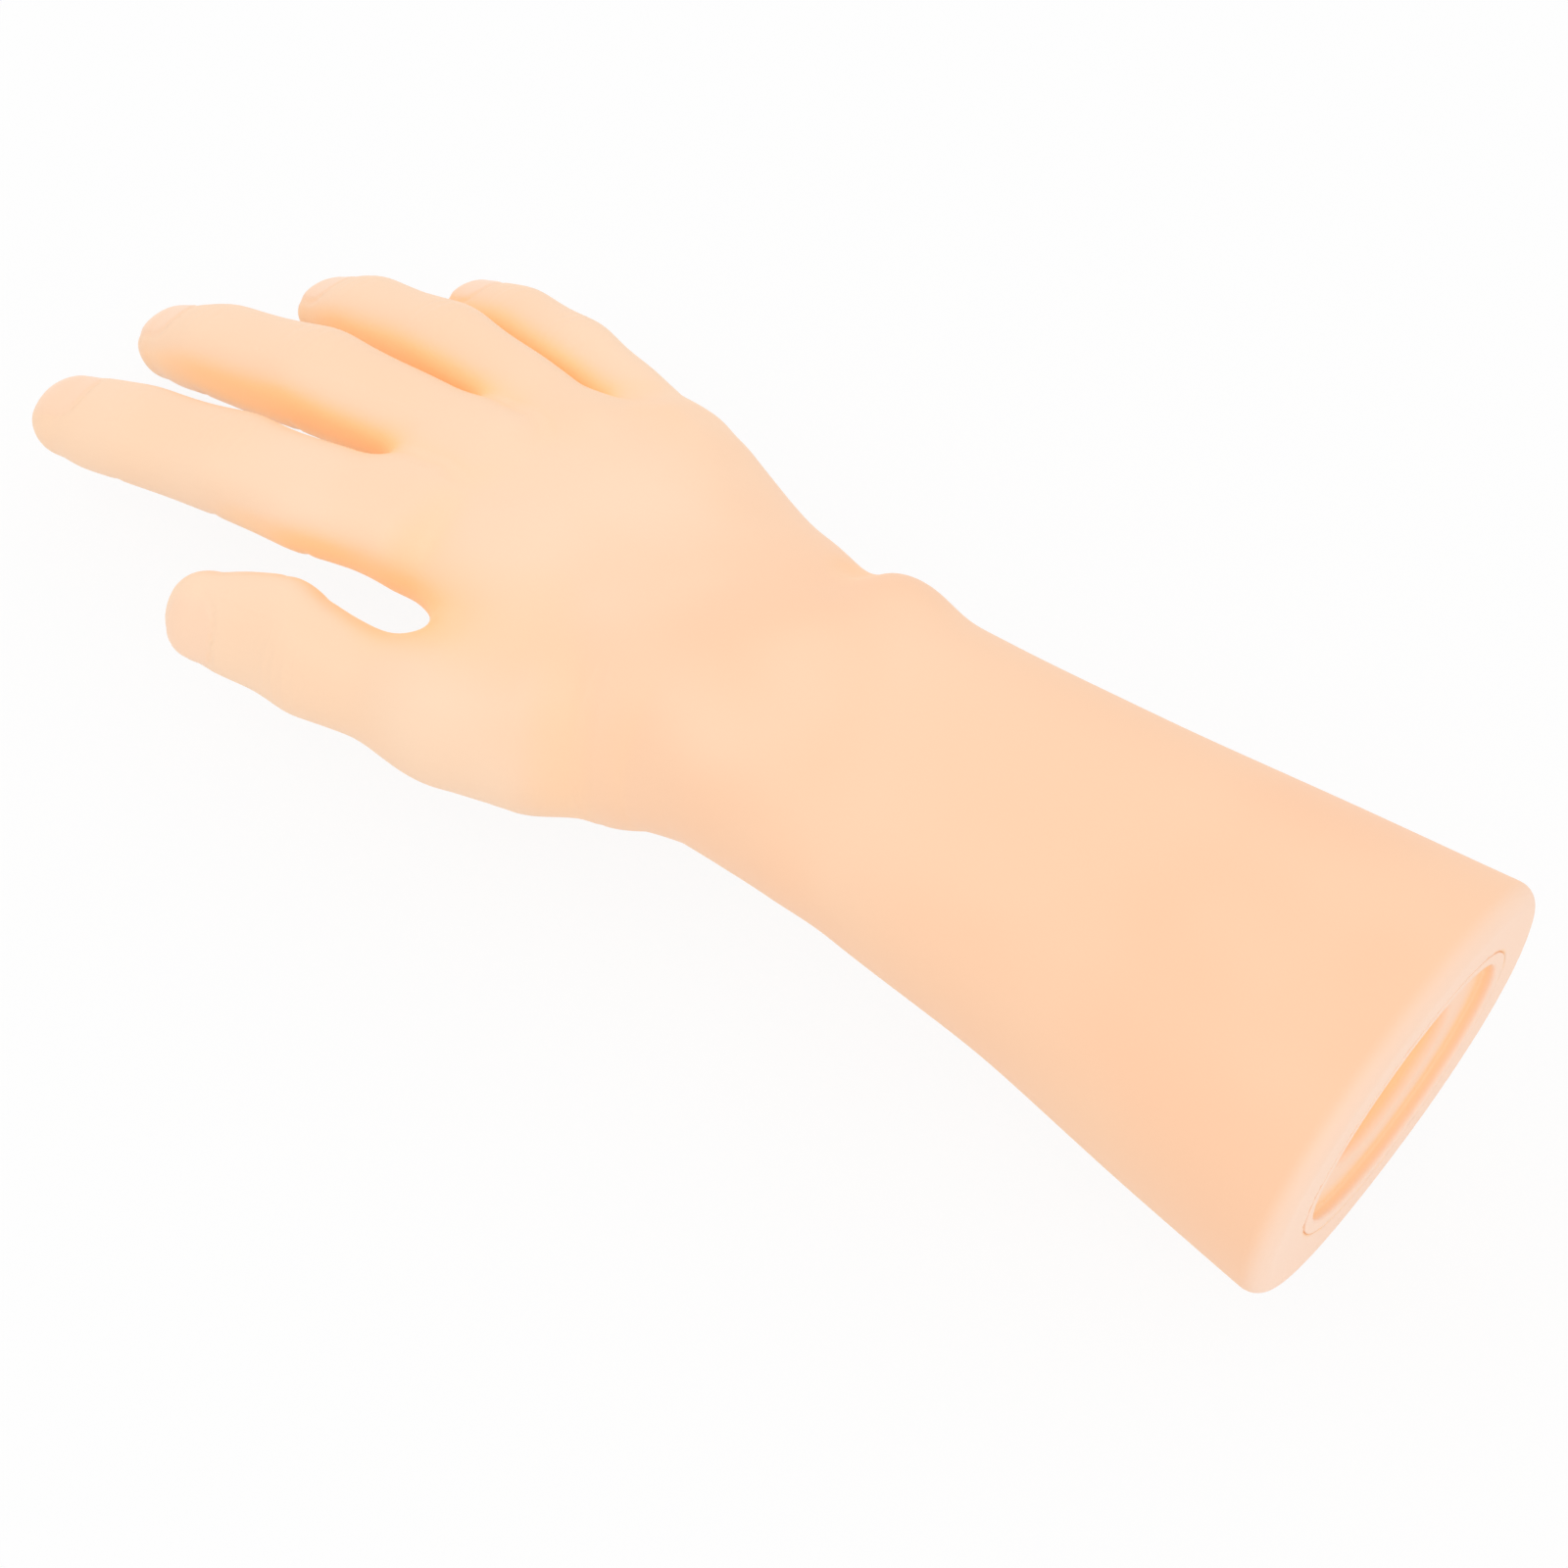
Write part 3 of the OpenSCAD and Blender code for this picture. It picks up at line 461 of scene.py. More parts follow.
# The way the field grows fastest, from four points round each place
def fieldSlope(field, points, reach):
    corners = np.array([[1, 1, 1], [1, -1, -1], [-1, 1, -1], [-1, -1, 1]], float)
    return sum(c * inChunks(field, points + c * reach)[:, None] for c in corners) / (4 * reach)


netShape = {"block": 4, "nearShare": 1.3, "nearMore": 1.0, "drift": 0.6, "slopeReach": 0.3}


# A net over the field's zero surface: one vertex in each cell that the surface crosses, at the mean of
# the crossings of its edges, and a square round each grid edge that the surface crosses. Only blocks of
# cells near the surface are worked out cell by cell.
def netOver(field, low, high, step):
    size = netShape["block"]
    blocks = np.ceil((np.array(high) - np.array(low)) / (size * step)).astype(int)
    count = blocks * size + 1
    axes = [low[k] + step * np.arange(count[k]) for k in range(3)]
    coarse = np.stack(np.meshgrid(*[a[::size] for a in axes], indexing="ij"), -1).reshape(-1, 3)
    rough = inChunks(field, coarse).reshape(blocks + 1)
    near = np.abs(rough) < size * step * netShape["nearShare"] + netShape["nearMore"]
    finer = lambda block: np.repeat(np.repeat(np.repeat(block, size, 0), size, 1), size, 2)
    active = np.zeros(blocks, bool)
    for i, j, k in np.ndindex(2, 2, 2):
        active |= near[i:i + blocks[0], j:j + blocks[1], k:k + blocks[2]]
    values = finer(rough)[:count[0], :count[1], :count[2]].astype(np.float32)
    fine = np.zeros(count, bool)
    spread = finer(active)
    for i, j, k in np.ndindex(2, 2, 2):
        fine[i:i + count[0] - 1, j:j + count[1] - 1, k:k + count[2] - 1] |= spread
    spots = np.argwhere(fine)
    values[tuple(spots.T)] = inChunks(field, spots * step + np.array(low))
    inside = values < 0
    corner = list(np.ndindex(2, 2, 2))
    cells = count - 1
    total = sum(inside[i:i + cells[0], j:j + cells[1], k:k + cells[2]].astype(np.int8)
                for i, j, k in corner)
    found = np.argwhere((total > 0) & (total < 8))
    held = np.stack([values[found[:, 0] + i, found[:, 1] + j, found[:, 2] + k] for i, j, k in corner], 1)
    place, hits = np.zeros((len(found), 3)), np.zeros(len(found))
    pairs = [(a, b) for a in range(8) for b in range(a + 1, 8)]
    for a, b in [(a, b) for a, b in pairs if sum(map(abs, np.subtract(corner[a], corner[b]))) == 1]:
        crossed = (held[:, a] < 0) != (held[:, b] < 0)
        t = np.where(crossed, held[:, a] / np.where(crossed, held[:, a] - held[:, b], 1), 0)
        spot = np.array(corner[a]) + t[:, None] * np.subtract(corner[b], corner[a])
        place += spot * crossed[:, None]
        hits += crossed
    verts = (found + place / hits[:, None]) * step + np.array(low)
    number = np.full(cells, -1, np.int32)
    number[tuple(found.T)] = np.arange(len(found))
    quads = []
    for axis in range(3):
        one, two = [(1, 2), (2, 0), (0, 1)][axis]
        cut = lambda along: tuple(along if k == axis else slice(1, -1) for k in range(3))
        first, after = inside[cut(slice(0, -1))], inside[cut(slice(1, None))]
        spots = np.argwhere(first != after)
        leaving = first[tuple(spots.T)]
        base = spots + np.array([0 if k == axis else 1 for k in range(3)])
        ring = []
        for down, left in ((1, 1), (0, 1), (0, 0), (1, 0)):
            c = base.copy()
            c[:, one] -= down
            c[:, two] -= left
            ring.append(number[tuple(c.T)])
        ring = np.stack(ring, 1)
        quads.append(np.where(leaving[:, None], ring, ring[:, ::-1]))
    return verts, np.concatenate(quads)


# Each vertex drifts to the mean of its neighbours along the surface, then back onto the zero surface
def settled(field, verts, quads, rounds, step):
    ends = np.concatenate([quads[:, [0, 1]], quads[:, [1, 2]], quads[:, [2, 3]], quads[:, [3, 0]]])
    share = np.bincount(ends[:, 0], minlength=len(verts))[:, None]
    for turn in range(rounds):
        if turn:
            sums = [np.bincount(ends[:, 0], verts[ends[:, 1], k], len(verts)) for k in range(3)]
            mean = np.stack(sums, 1) / share
            verts = verts + netShape["drift"] * (mean - verts)
        slope = fieldSlope(field, verts, netShape["slopeReach"])
        size = (slope ** 2).sum(1)[:, None] + 1e-6
        push = inChunks(field, verts)[:, None] * slope / size
        verts = verts - push * np.minimum(1, step / (np.linalg.norm(push, axis=1)[:, None] + 1e-9))
    return verts


skinNet = {"step": 0.98, "margin": 8.0, "rounds": 3, "normalReach": 0.22}
skinLow = np.array(cadBox[0]) * 1000 - skinNet["margin"]
skinHigh = np.array(cadBox[1]) * 1000 + skinNet["margin"]
skinVerts, skinQuads = netOver(gloveDistance, skinLow, skinHigh, skinNet["step"])
print("skin net:", len(skinVerts), "vertices")
skinVerts = settled(gloveDistance, skinVerts, skinQuads, skinNet["rounds"], skinNet["step"])
skinNormals = fieldSlope(gloveDistance, skinVerts, skinNet["normalReach"])
skinNormals /= np.linalg.norm(skinNormals, axis=1)[:, None]
print("skin settled")


# A socket of a shader tree, so that sums of sockets are written as sums
class Term:
    def __init__(self, tree, socket):
        self.tree, self.socket = tree, socket

    def __add__(self, other): return self.tree.maths("ADD", self, other)
    def __radd__(self, other): return self.tree.maths("ADD", other, self)
    def __sub__(self, other): return self.tree.maths("SUBTRACT", self, other)
    def __rsub__(self, other): return self.tree.maths("SUBTRACT", other, self)
    def __mul__(self, other): return self.tree.maths("MULTIPLY", self, other)
    def __rmul__(self, other): return self.tree.maths("MULTIPLY", other, self)


# A material with its node tree, and a method for each thing that is built in it
class Tree:
    def __init__(self, name):
        self.material = bpy.data.materials.new(name)
        self.material.use_nodes = True
        self.nodes, self.links = self.material.node_tree.nodes, self.material.node_tree.links
        self.shader = next(n for n in self.nodes if n.type == "BSDF_PRINCIPLED")

    # A link from a Term, or else a set value, with 1 for a missing alpha
    def put(self, socket, value):
        if isinstance(value, Term):
            self.links.new(value.socket, socket)
        elif hasattr(socket.default_value, "__len__"):
            socket.default_value = tuple(value) + (1,) * (len(socket.default_value) - len(value))
        else:
            socket.default_value = value

    # A node of this kind with its settings; inputs are named, or in0, in1 by place; out picks an output
    def node(self, kind, settings=None, out=0, **inputs):
        made = self.nodes.new(kind)
        for key, value in (settings or {}).items():
            setattr(made, key, value)
        for key, value in inputs.items():
            place = int(key[2:]) if key.startswith("in") and key[2:].isdigit() else key.replace("_", " ")
            self.put(made.inputs[place], value)
        return Term(self, made.outputs[out])

    # One Math node on two numbers or sockets
    def maths(self, kind, a, b=0.0):
        return self.node("ShaderNodeMath", {"operation": kind}, in0=a, in1=b)

    # Colour a where share is 0, colour b where it is 1
    def mix(self, share, a, b):
        return self.node("ShaderNodeMix", {"data_type": "RGBA"}, out=2, in0=share, in6=a, in7=b)

    # Soft noise from 0 to 1, with this many waves a metre
    def noise(self, where, scale, detail=2.0):
        return self.node("ShaderNodeTexNoise", Vector=where, Scale=scale, Detail=detail)

    # Object coordinates, in metres
    def spots(self):
        return self.node("ShaderNodeTexCoord", out=3)

    # A value stored on the vertices
    def mark(self, name):
        return self.node("ShaderNodeAttribute", {"attribute_name": name}, out=2)

    # 0 where value is low, 1 where it is high, eased between
    def ramp(self, value, lowAt, highAt):
        return self.node("ShaderNodeMapRange", {"interpolation_type": "SMOOTHSTEP"}, Value=value,
                         From_Min=lowAt, From_Max=highAt)

    # The shader's own sockets, by name; gives back the material
    def set(self, **values):
        for key, value in values.items():
            self.put(self.shader.inputs[key.replace("_", " ")], value)
        return self.material


# sRGB 0..255 to the linear values a shader takes: a straight line near black, a power of 2.4 above it
def tone(r, g, b):
    c = np.array([r, g, b]) / 255
    return tuple(np.where(c <= 0.04045, c / 12.92, ((c + 0.055) / 1.055) ** 2.4))


# Vinyl tones. The crevice tone is painted shade, the glows are painted light, and the end tone is partly a painted
# highlight on the rim.
vinylLook = {"arm": tone(252, 203, 167), "armPale": tone(252, 207, 172), "hand": tone(252, 214, 181),
             "handPale": tone(252, 218, 188), "end": tone(252, 217, 193), "creviceShadeTone": tone(252, 203, 146),
             "nail": tone(252, 213, 184), "nailShare": 0.7, "armUntil": 0.06, "handFrom": 0.20,
             "wander": 0.03, "driftScale": 16.0, "driftFrom": 0.35, "driftTo": 0.65,
             "rough": 0.45, "driftRough": 0.05, "nailRough": 0.32, "ior": 1.45,
             "grain": 0.08, "grainScale": 1100.0, "grainHigh": 0.0004,
             "glow": 0.045, "creviceGlow": 0.34, "creviceShadeMost": 0.8}


# Base colour: arm tone to hand tone along the arm, each drifting to its paler tone with slow noise, then
# the arm's end paler, which on the rounded rim is a painted highlight, the nails' own tone, and painted shade
# in the crevices as a deeper orange. The emission is a painted glow, a little everywhere and more where it
# is marked, in the crevices and the cap's hollow.
def vinylMaterial():
    look, tree = vinylLook, Tree("vinylSkin")
    where = tree.spots()
    drift = tree.ramp(tree.noise(where, look["driftScale"]), look["driftFrom"], look["driftTo"])
    along = tree.node("ShaderNodeSeparateXYZ", out=1, Vector=where)
    toHand = tree.ramp(along + (drift - 0.5) * look["wander"], look["armUntil"], look["handFrom"])
    creviceShade, nail, lit, end = (tree.mark(name) for name in ("creviceShade", "nail", "lit", "end"))
    armTone = tree.mix(drift, look["arm"], look["armPale"])
    handTone = tree.mix(drift, look["hand"], look["handPale"])
    base = tree.mix(toHand, armTone, handTone)
    # The arm's end paler; along the rounded rim this paleness is a painted highlight
    base = tree.mix(end, base, look["end"])
    base = tree.mix(nail * look["nailShare"], base, look["nail"])
    # Painted shade: the base colour turns a deeper orange in the crevices, where shade falls
    base = tree.mix(creviceShade * look["creviceShadeMost"], base, look["creviceShadeTone"])
    # Painted glow: an emission in the crevice tone, faint everywhere and strong where its mark is high
    faint, strong = (tuple(look[k] * c for c in look["creviceShadeTone"]) for k in ("glow", "creviceGlow"))
    glow = tree.mix(lit, faint, strong)
    grain = tree.noise(where, look["grainScale"], 3.0)
    bump = tree.node("ShaderNodeBump", Strength=look["grain"], Distance=look["grainHigh"], Height=grain)
    rough = look["rough"] + drift * look["driftRough"] - nail * (look["rough"] - look["nailRough"])
    return tree.set(Base_Color=base, Roughness=rough, Normal=bump, IOR=look["ior"], Emission_Color=glow,
                    Emission_Strength=1.0)


foamLook = {"colour": tone(226, 206, 168), "deep": tone(190, 165, 120), "cell": 700.0, "deepFrom": 0.1,
            "deepTo": 0.6, "rough": 0.95, "bump": 0.6, "bumpHigh": 0.0006}


# Open cells: a pale foam with darker pits where the cell pattern is low
def foamMaterial():
    look, tree = foamLook, Tree("foam")
    where = tree.spots()
    cells = tree.node("ShaderNodeTexVoronoi", Vector=where, Scale=look["cell"])
    bump = tree.node("ShaderNodeBump", Strength=look["bump"], Distance=look["bumpHigh"], Height=cells)
    colour = tree.mix(tree.ramp(cells, look["deepFrom"], look["deepTo"]), look["deep"], look["colour"])
    return tree.set(Base_Color=colour, Roughness=look["rough"], Normal=bump)


metalGrain = {"drawn": (1.0, 0.04, 1.0), "patch": 120.0, "patchFrom": 0.4, "patchTo": 0.7, "bump": 0.12,
              "bumpHigh": 0.0002, "streakRough": 0.14, "patchRough": 0.08}
metalLooks = {"aluminium": {"colour": tone(205, 207, 211), "dull": tone(176, 178, 183), "rough": 0.32,
                            "streak": 900.0},
              "steel": {"colour": tone(184, 186, 190), "dull": tone(146, 148, 153), "rough": 0.24,
                        "streak": 1500.0}}


# Satin metal: fine streaks along the arm, from noise that is drawn out along y, with dull patches
def metalMaterial(name):
    look, grain, tree = metalLooks[name], metalGrain, Tree(name + "Satin")
    where = tree.spots()
    drawn = tree.node("ShaderNodeMapping", Vector=where, Scale=grain["drawn"])
    streaks = tree.noise(drawn, look["streak"], 3.0)
    patches = tree.ramp(tree.noise(where, grain["patch"]), grain["patchFrom"], grain["patchTo"])
    bump = tree.node("ShaderNodeBump", Strength=grain["bump"], Distance=grain["bumpHigh"], Height=streaks)
    rough = look["rough"] + streaks * grain["streakRough"] + patches * grain["patchRough"]
    return tree.set(Base_Color=tree.mix(patches, look["colour"], look["dull"]), Metallic=1.0,
                    Roughness=rough, Normal=bump)


vinyl, foam = vinylMaterial(), foamMaterial()
metals = {name: metalMaterial(name) for name in metalLooks}
for part in record["subparts"]:
    if part["material_slot"] in metals:
        node = frame["nodes"][part["node"]]
        node.data.materials.clear()
        node.data.materials.append(metals[part["material_slot"]])
print("materials ready")


# A smooth mesh from places in mm, with its own normals and vertex marks where they are given
def newMesh(name, verts, faces, normals=None, material=None, marks=None):
    mesh = bpy.data.meshes.new(name)
    mesh.from_pydata((verts / 1000).tolist(), [], faces if isinstance(faces, list) else faces.tolist())
    for key, values in (marks or {}).items():
        mesh.attributes.new(key, "FLOAT", "POINT").data.foreach_set("value", values.astype(np.float32))
    mesh.polygons.foreach_set("use_smooth", np.ones(len(mesh.polygons), bool))
    if normals is not None:
        mesh.normals_split_custom_set_from_vertices(normals.tolist())
    if material:
        mesh.materials.append(material)
    piece = bpy.data.objects.new(name, mesh)
    bpy.context.scene.collection.objects.link(piece)
    return piece


creviceShape = {"reaches": [3.0, 6.0, 10.0, 15.0], "weights": [0.5, 0.5, 0.45, 0.3], "least": 0.10}


# For each reach out along the normal, 1 less the skin's distance there over the reach, weighted and
# summed: nothing over a flat place, and more the nearer other skin is. This share sets the painted shade in the
# crevices.
def creviceShare(verts, normals):
    share = np.zeros(len(verts))
    for reach, weight in zip(creviceShape["reaches"], creviceShape["weights"]):
        near = inChunks(skinDistance, verts + normals * reach)
        share += weight * np.clip(1 - near / reach, 0, 1)
    return np.clip((share - creviceShape["least"]) / (1 - creviceShape["least"]), 0, 1)


# Where each digit's skin parts from the palm's, in mm past its root hinge, on a plane tilted across by tilt;
# its first part starts at start and its last part half before the middle hinge. The places at start, end and
# either side of the middle hinge are also worked out below, and not used.
seamShape = {"index": {"tilt": 0, "start": -6.0, "end": 6.0, "half": 6.5},
             "middle": {"tilt": 0, "start": -1.8, "end": 9.2, "half": 7.0},
             "ring": {"tilt": 25, "start": 0.5, "end": 8.9, "half": 6.5},
             "little": {"tilt": 20, "start": -2.5, "end": 5.7, "half": 5.5},
             "thumb": {"tilt": -30, "start": 10.4, "end": 15.3, "half": 5.6}}
seamStep = 1.2  # the parting lies this far before each place where a part starts
fanBack = 7.0  # how far back inside each closing fan meets


# The way square to a digit's first parting: along the digit, tilted across
def seamPlane(name):
    digit, seam = digits[name], seamShape[name]
    tilt = math.radians(seam["tilt"])
    return digit["along"] * math.cos(tilt) + digit["across"] * math.sin(tilt)


# 0 for the palm and arm, then two numbers for each digit, for its first part and its last part: a face is
# a digit's where that digit's field is the least and the face lies past its parting
def seamLabels(centres):
    label = np.zeros(len(centres), int)
    body = inChunks(bodyDistance, centres)
    gaps = np.stack([inChunks(lambda p, d=digits[n]: digitDistance(p, d), centres) for n in digitNames], 1)
    nearest = gaps.argmin(1)
    for k, name in enumerate(digitNames):
        digit, seam = digits[name], seamShape[name]
        past = (centres - digit["rootAt"]) @ seamPlane(name)
        own = (nearest == k) & (gaps[:, k] < body) & (past > seam["start"] - seamStep)
        last = (centres - digit["middleAt"]) @ digit["along"] > -seam["half"] - seamStep
        label[own] = 1 + 2 * k
        label[own & last] = 2 + 2 * k
    return label


# The faces with one label, with each cut edge closed by a fan to the edge's mean place, moved back along
# its digit. A cut edge is one that a face with another label runs along the other way round.
def cutPiece(name, wanted, labels, back, marks, material):
    mine = skinQuads[labels == wanted]
    others = np.concatenate([skinQuads[labels != wanted][:, [k, (k + 1) % 4]] for k in range(4)])
    otherLabel = np.tile(labels[labels != wanted], 4)
    edges = np.concatenate([mine[:, [k, (k + 1) % 4]] for k in range(4)])
    size = len(skinVerts)
    otherKey = others[:, 1].astype(np.int64) * size + others[:, 0]
    order = np.argsort(otherKey)
    spot = np.searchsorted(otherKey[order], edges[:, 0].astype(np.int64) * size + edges[:, 1])
    spot = np.minimum(spot, len(order) - 1)
    cut = otherKey[order][spot] == edges[:, 0].astype(np.int64) * size + edges[:, 1]
    beyond = otherLabel[order][spot]
    used, faces = np.unique(mine, return_inverse=True)
    faces = faces.reshape(mine.shape)
    verts, normals = skinVerts[used], skinNormals[used]
    fans, tips, looks = [], [], []
    for number, other in enumerate(np.unique(beyond[cut])):
        rim = edges[cut & (beyond == other)]
        digit = digits[digitNames[(max(wanted, other) - 1) // 2]]
        depth = 0.0 if other and wanted else back
        tips.append(skinVerts[rim.ravel()].mean(0) - digit["along"] * depth)
        looks.append(digit["along"] * (1 if other > wanted else -1))
        ends = np.searchsorted(used, rim)
        fans.append(np.stack([ends[:, 1], ends[:, 0], np.full(len(rim), len(used) + number)], 1))
    if tips:
        verts, normals = np.concatenate([verts, tips]), np.concatenate([normals, looks])
    every = faces.tolist() + [f for fan in fans for f in fan.tolist()]
    extra = np.zeros(len(tips))
    kept = {k: np.concatenate([m[used], extra]) for k, m in marks.items()}
    return newMesh(name, verts, every, normals, material, kept)


markShape = {"nailNear": 26.0, "litShare": 0.35, "paleUntil": 0.6, "plainFrom": 5.0}
# The share of painted shade in each crevice, from how near other skin is
creviceShade = creviceShare(skinVerts, skinNormals)
nails = np.zeros(len(skinVerts))
for name in digitNames:
    digit = digits[name]
    near = np.flatnonzero(((skinVerts - digit["line"][-1]) ** 2).sum(1) < markShape["nailNear"] ** 2)
    nailShare = digitRelief(*digitPlace(skinVerts[near], digit), digit)[1]
    nails[near] = np.maximum(nails[near], nailShare)
# The end's paleness: full on the end face, fading out over the rounded rim, where it is a painted highlight
armPlace = toFrame(skinVerts, armFrame)
nearEnd = armPlace[:, 1] + armShape["lean"] * armPlace[:, 0] - armShape["from"]
# The painted glow's mark is a share of the painted crevice shade
marks = {"creviceShade": creviceShade, "nail": nails, "lit": markShape["litShare"] * creviceShade,
         "end": 1 - smoothStep(nearEnd, markShape["paleUntil"], markShape["plainFrom"])}
labels = seamLabels(skinVerts[skinQuads].mean(1))
print("crevices, nails and seams marked")


palmSkin = cutPiece("gloveSkin", 0, labels, fanBack, marks, vinyl)
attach(palmSkin, "palm_and_arm")
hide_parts("hand_glove")
for k, name in enumerate(digitNames):
    digit, seam = digits[name], seamShape[name]
    plane = seamPlane(name)
    rootStart, rootEnd = digit["rootAt"] + plane * seam["start"], digit["rootAt"] + plane * seam["end"]
    midStart, midEnd = (digit["middleAt"] + digit["along"] * side * seam["half"] for side in (-1, 1))
    first = cutPiece(name + "RootSkin", 1 + 2 * k, labels, fanBack, marks, vinyl)
    rootStart / 1000
    rootEnd / 1000
    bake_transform(first)
    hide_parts(name + "_root_fold", name + "_sleeve")
    last = cutPiece(name + "TipSkin", 2 + 2 * k, labels, fanBack, marks, vinyl)
    midStart / 1000
    midEnd / 1000
    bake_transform(last)
    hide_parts(name + "_middle_fold", name + "_fingertip")
    print(name, "skin cut")


# The cap's section, as steps out from an oval and along the arm: the rim outwards from the plug's edge,
# the hollow's mouth from the hollow's edge, and the collar's end and root
capRing = {"around": 128, "plugGap": 0.05,
           "rim": [(0, 0.35), (0, 0.1), (-0.1, 0), (-0.3, -0.02), (-2.3, -0.02), (-2.62, 0.06),
                   (-2.9, 0.28), (-3.0, 0.6), (-3.0, 1.2), (-3.0, 1.9), (-3.12, 2.3), (-3.45, 2.53),
                   (-4.0, 2.6)],
           "mouth": [(5.5, 0), (2.6, 0), (1.4, 0.15), (0.6, 0.55), (0.12, 1.3), (0, 2.2), (0, 6)],
           "collarRound": 0.4, "rootRound": 0.5, "backIn": 0.8, "sharp": 50.0,
           "wallFrom": 0.4, "wallTo": 0.8, "wallIn": 4.2, "hollowFrom": 0.2, "hollowTo": 4.0,
           "wallShade": 0.75, "hollowShade": 0.9, "wallGlow": 0.1, "floorPlain": 0.4, "floorFrom": 0.1}


# Rings of ovals in a closed loop: x = a cos u and z = b sin u, for each place (a, b, y) of the section
def capPiece():
    around = capRing["around"]
    a, b = (capShape[k] / 2 - capRing["plugGap"] for k in ("wide", "high"))
    end = armShape["from"]
    deep, wall = capShape["recessDeep"], capShape["collarWall"]
    ha, hb, stop = capShape["hollowWide"] / 2, capShape["hollowHigh"] / 2, capShape["hollowEnd"]
    r, rootRound, back = capRing["collarRound"], capRing["rootRound"], capRing["backIn"]
    places = [(a, b, end + deep + wall)] + [(a + d, b + d, end + y) for d, y in capRing["rim"]]
    places += [(ha + d, hb + d, end + deep + y) for d, y in capRing["mouth"]]
    places += [(ha + d, hb + d, stop + y) for d, y in [(0, -r), (r, 0), (wall - r, 0), (wall, -r)]]
    places += [(ha + wall + d, hb + wall + d, end + deep + wall + y)
               for d, y in [(0, rootRound), (rootRound, 0)]]
    places += [(a - back, b - back, end + deep + wall)]
    rings = np.array(places)
    u = np.linspace(0, 2 * math.pi, around, endpoint=False)
    local = np.stack([rings[:, None, 0] * np.cos(u), np.repeat(rings[:, 2:], around, 1),
                      rings[:, None, 1] * np.sin(u)], 2)
    local[:, :, 1] -= armShape["lean"] * local[:, :, 0]
    count = len(rings)
    i, j = np.meshgrid(np.arange(count), np.arange(around), indexing="ij")
    p, q = (i + 1) % count, (j + 1) % around
    faces = np.stack([i * around + j, p * around + j, p * around + q, i * around + q], 2).reshape(-1, 4)
    verts = fromFrame(local.reshape(-1, 3), armFrame)
    depth = (rings[:, 2] - end)[:, None] * np.ones(around)
    # Painted shade in the recess's wall and the hollow, and painted glow, a little on the wall and full in the
    # hollow
    nearWall = (rings[:, 0] > a - capRing["wallIn"])[:, None]
    inWall = smoothStep(depth, capRing["wallFrom"], deep - capRing["wallTo"]) * nearWall
    inHollow = smoothStep(depth, deep + capRing["hollowFrom"], deep + capRing["hollowTo"])
    capShade = np.maximum(capRing["wallShade"] * inWall, capRing["hollowShade"] * inHollow).reshape(-1)
    lit = np.maximum(capRing["wallGlow"] * inWall, inHollow).reshape(-1)
    # The end's paleness, partly a painted highlight, comes partly off the recess floor and wholly off the hollow
    onFloor = capRing["floorPlain"] * (depth > deep - capRing["floorFrom"])
    pale = (1 - np.maximum(onFloor, inHollow)).reshape(-1)
    marks = {"creviceShade": capShade, "nail": 0 * capShade, "lit": lit, "end": pale}
    piece = newMesh("armEndCap", verts, faces, None, vinyl, marks)
    piece.data.set_sharp_from_angle(angle=math.radians(capRing["sharp"]))
    return piece


endCap = capPiece()
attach(endCap, "palm_and_arm")
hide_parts("end_cap")
print("end cap made")


# The foam fills the glove with this much room for its wall, and is parted at the wrist
foamShape = {"wall": 2.6, "split": 96.0, "gap": 0.3, "step": 2.6, "rounds": 2, "capRoom": 1.0,
             "endBack": 3.5}


# The greatest of the body's field raised by the wall, the cap's room turned inside out and the end planes
def foamDistance(points, part):
    y = toFrame(points, armFrame)[:, 1]
    inside = np.maximum(bodyDistance(points) + foamShape["wall"], foamShape["capRoom"] - capRoom(points))
    ends = y - foamShape["split"] if part == "arm" else foamShape["split"] + foamShape["gap"] - y
    behind = armShape["from"] + foamShape["endBack"] - y
    return np.maximum(np.maximum(inside, ends), behind)


for part in ("arm", "palm"):
    field = lambda points, part=part: foamDistance(points, part)
    verts, quads = netOver(field, skinLow, skinHigh, foamShape["step"])
    verts = settled(field, verts, quads, foamShape["rounds"], foamShape["step"])
    piece = newMesh(part + "Foam", verts, quads, None, foam)
    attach(piece, "palm_and_arm")
    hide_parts(part + "_foam")
print("foam made")

cameraShape = {"azimuth": -55.2, "elevation": 58.1, "away": 1203.0, "right": -0.2, "up": -16.2,
               "lens": 140.58, "sensor": 36.0, "near": 0.05, "far": 20.0}


# Away from the wrist, back along the azimuth and elevation, then moved right and up, and looking forward
def placeCamera(shape):
    a, e = math.radians(shape["azimuth"]), math.radians(shape["elevation"])
    back = np.array([math.sin(a) * math.cos(e), -math.cos(a) * math.cos(e), math.sin(e)])
    right = np.array([math.cos(a), math.sin(a), 0])
    up = np.cross(back, right)
    at = handFrame["at"] + right * shape["right"] + up * shape["up"] + back * shape["away"]
    data = bpy.data.cameras.new("camera")
    data.lens, data.sensor_width = shape["lens"], shape["sensor"]
    data.clip_start, data.clip_end = shape["near"], shape["far"]
    camera = bpy.data.objects.new("camera", data)
    turn = Matrix(np.array([right, up, back]).T.tolist()).to_4x4()
    camera.matrix_world = Matrix.Translation(Vector((at / 1000).tolist())) @ turn
    bpy.context.scene.collection.objects.link(camera)
    bpy.context.scene.camera = camera


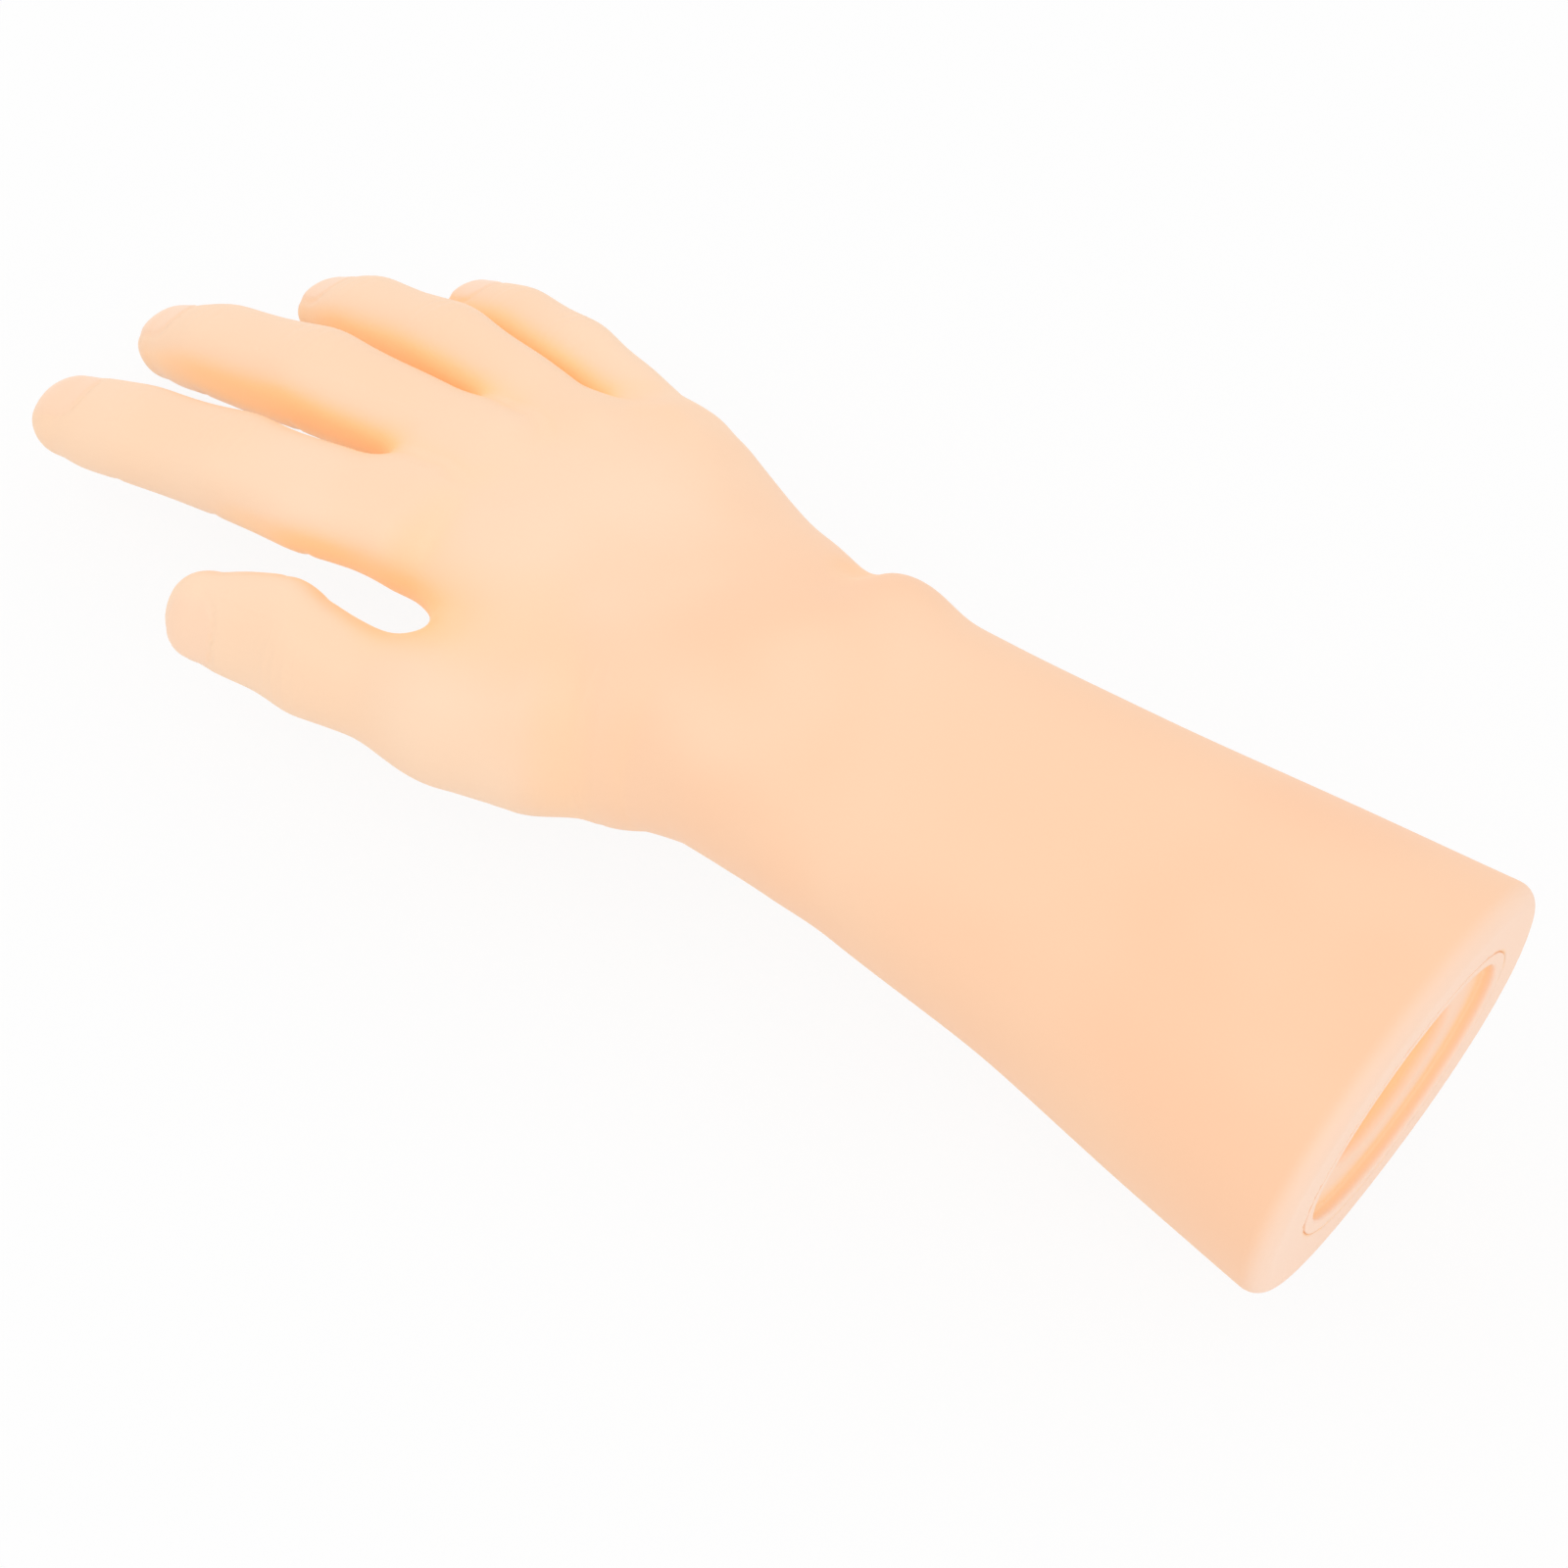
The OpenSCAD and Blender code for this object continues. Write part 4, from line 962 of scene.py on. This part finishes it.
placeCamera(cameraShape)
lightShape = {"world": 0.85, "floor": 0.9, "floorGlow": 0.9, "floorSide": 6000.0, "floorDrop": 0.2,
              "lamps": [{"name": "keyLamp", "at": (-0.6, 0.75, 1.3), "size": 1.1, "power": 2.6},
                        {"name": "fillLamp", "at": (-0.6, -1.2, 0.8), "size": 1.2, "power": 2.6},
                        {"name": "sideLamp", "at": (1.2, 0.4, 0.9), "size": 1.2, "power": 1.8}]}


# 1 for the rays that see a surface, which are camera, glossy and transmission rays, and 0 for the rest
def seenRays(nodes, links):
    ray = nodes.new("ShaderNodeLightPath")
    seen = ray.outputs["Is Camera Ray"]
    for kind in ("Is Glossy Ray", "Is Transmission Ray"):
        most = nodes.new("ShaderNodeMath")
        most.operation = "MAXIMUM"
        links.new(seen, most.inputs[0])
        links.new(ray.outputs[kind], most.inputs[1])
        seen = most.outputs[0]
    return seen


# The world is plain white to the rays that see it and dimmer to the rest; three large lamps stand round
# the wrist and face it
def addLights(shape):
    world = bpy.data.worlds.new("world")
    bpy.context.scene.world = world
    world.use_nodes = True
    nodes, links = world.node_tree.nodes, world.node_tree.links
    dim, plain = nodes["Background"], nodes.new("ShaderNodeBackground")
    for made in (dim, plain):
        made.inputs["Color"].default_value = (1, 1, 1, 1)
    dim.inputs["Strength"].default_value = shape["world"]
    mixed = nodes.new("ShaderNodeMixShader")
    for place, socket in enumerate((seenRays(nodes, links), dim.outputs[0], plain.outputs[0])):
        links.new(socket, mixed.inputs[place])
    links.new(mixed.outputs[0], nodes["World Output"].inputs["Surface"])
    centre = Vector((handFrame["at"] / 1000).tolist())
    for lamp in shape["lamps"]:
        data = bpy.data.lights.new(lamp["name"], "AREA")
        data.size, data.energy = lamp["size"], lamp["power"]
        made = bpy.data.objects.new(lamp["name"], data)
        made.location = centre + Vector(lamp["at"])
        made.rotation_euler = (-Vector(lamp["at"])).to_track_quat("-Z", "Y").to_euler()
        bpy.context.scene.collection.objects.link(made)
        made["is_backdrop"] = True


addLights(lightShape)


# A square just below the object: plain matt to the light, and mostly glowing white to the rays that see
# it, so that a faint shadow stays
def addFloor(shape):
    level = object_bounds()[0][2] * 1000 - shape["floorDrop"]
    side = shape["floorSide"]
    corners = np.array([[-side, -side, level], [side, -side, level], [side, side, level],
                        [-side, side, level]])
    tree = Tree("floorWhite")
    tree.set(Base_Color=(shape["floor"],) * 3, Roughness=1.0)
    glow = tree.node("ShaderNodeEmission", Color=(1, 1, 1), Strength=1.0)
    seen = Term(tree, seenRays(tree.nodes, tree.links)) * shape["floorGlow"]
    both = tree.nodes.new("ShaderNodeMixShader")
    for place, socket in enumerate((seen.socket, tree.shader.outputs[0], glow.socket)):
        tree.links.new(socket, both.inputs[place])
    end = next(n for n in tree.nodes if n.type == "OUTPUT_MATERIAL")
    tree.links.new(both.outputs[0], end.inputs["Surface"])
    floor = newMesh("floor", corners, np.array([[0, 1, 2, 3]]), material=tree.material)
    floor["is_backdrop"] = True


addFloor(lightShape)
bpy.context.scene.view_settings.view_transform = "Standard"
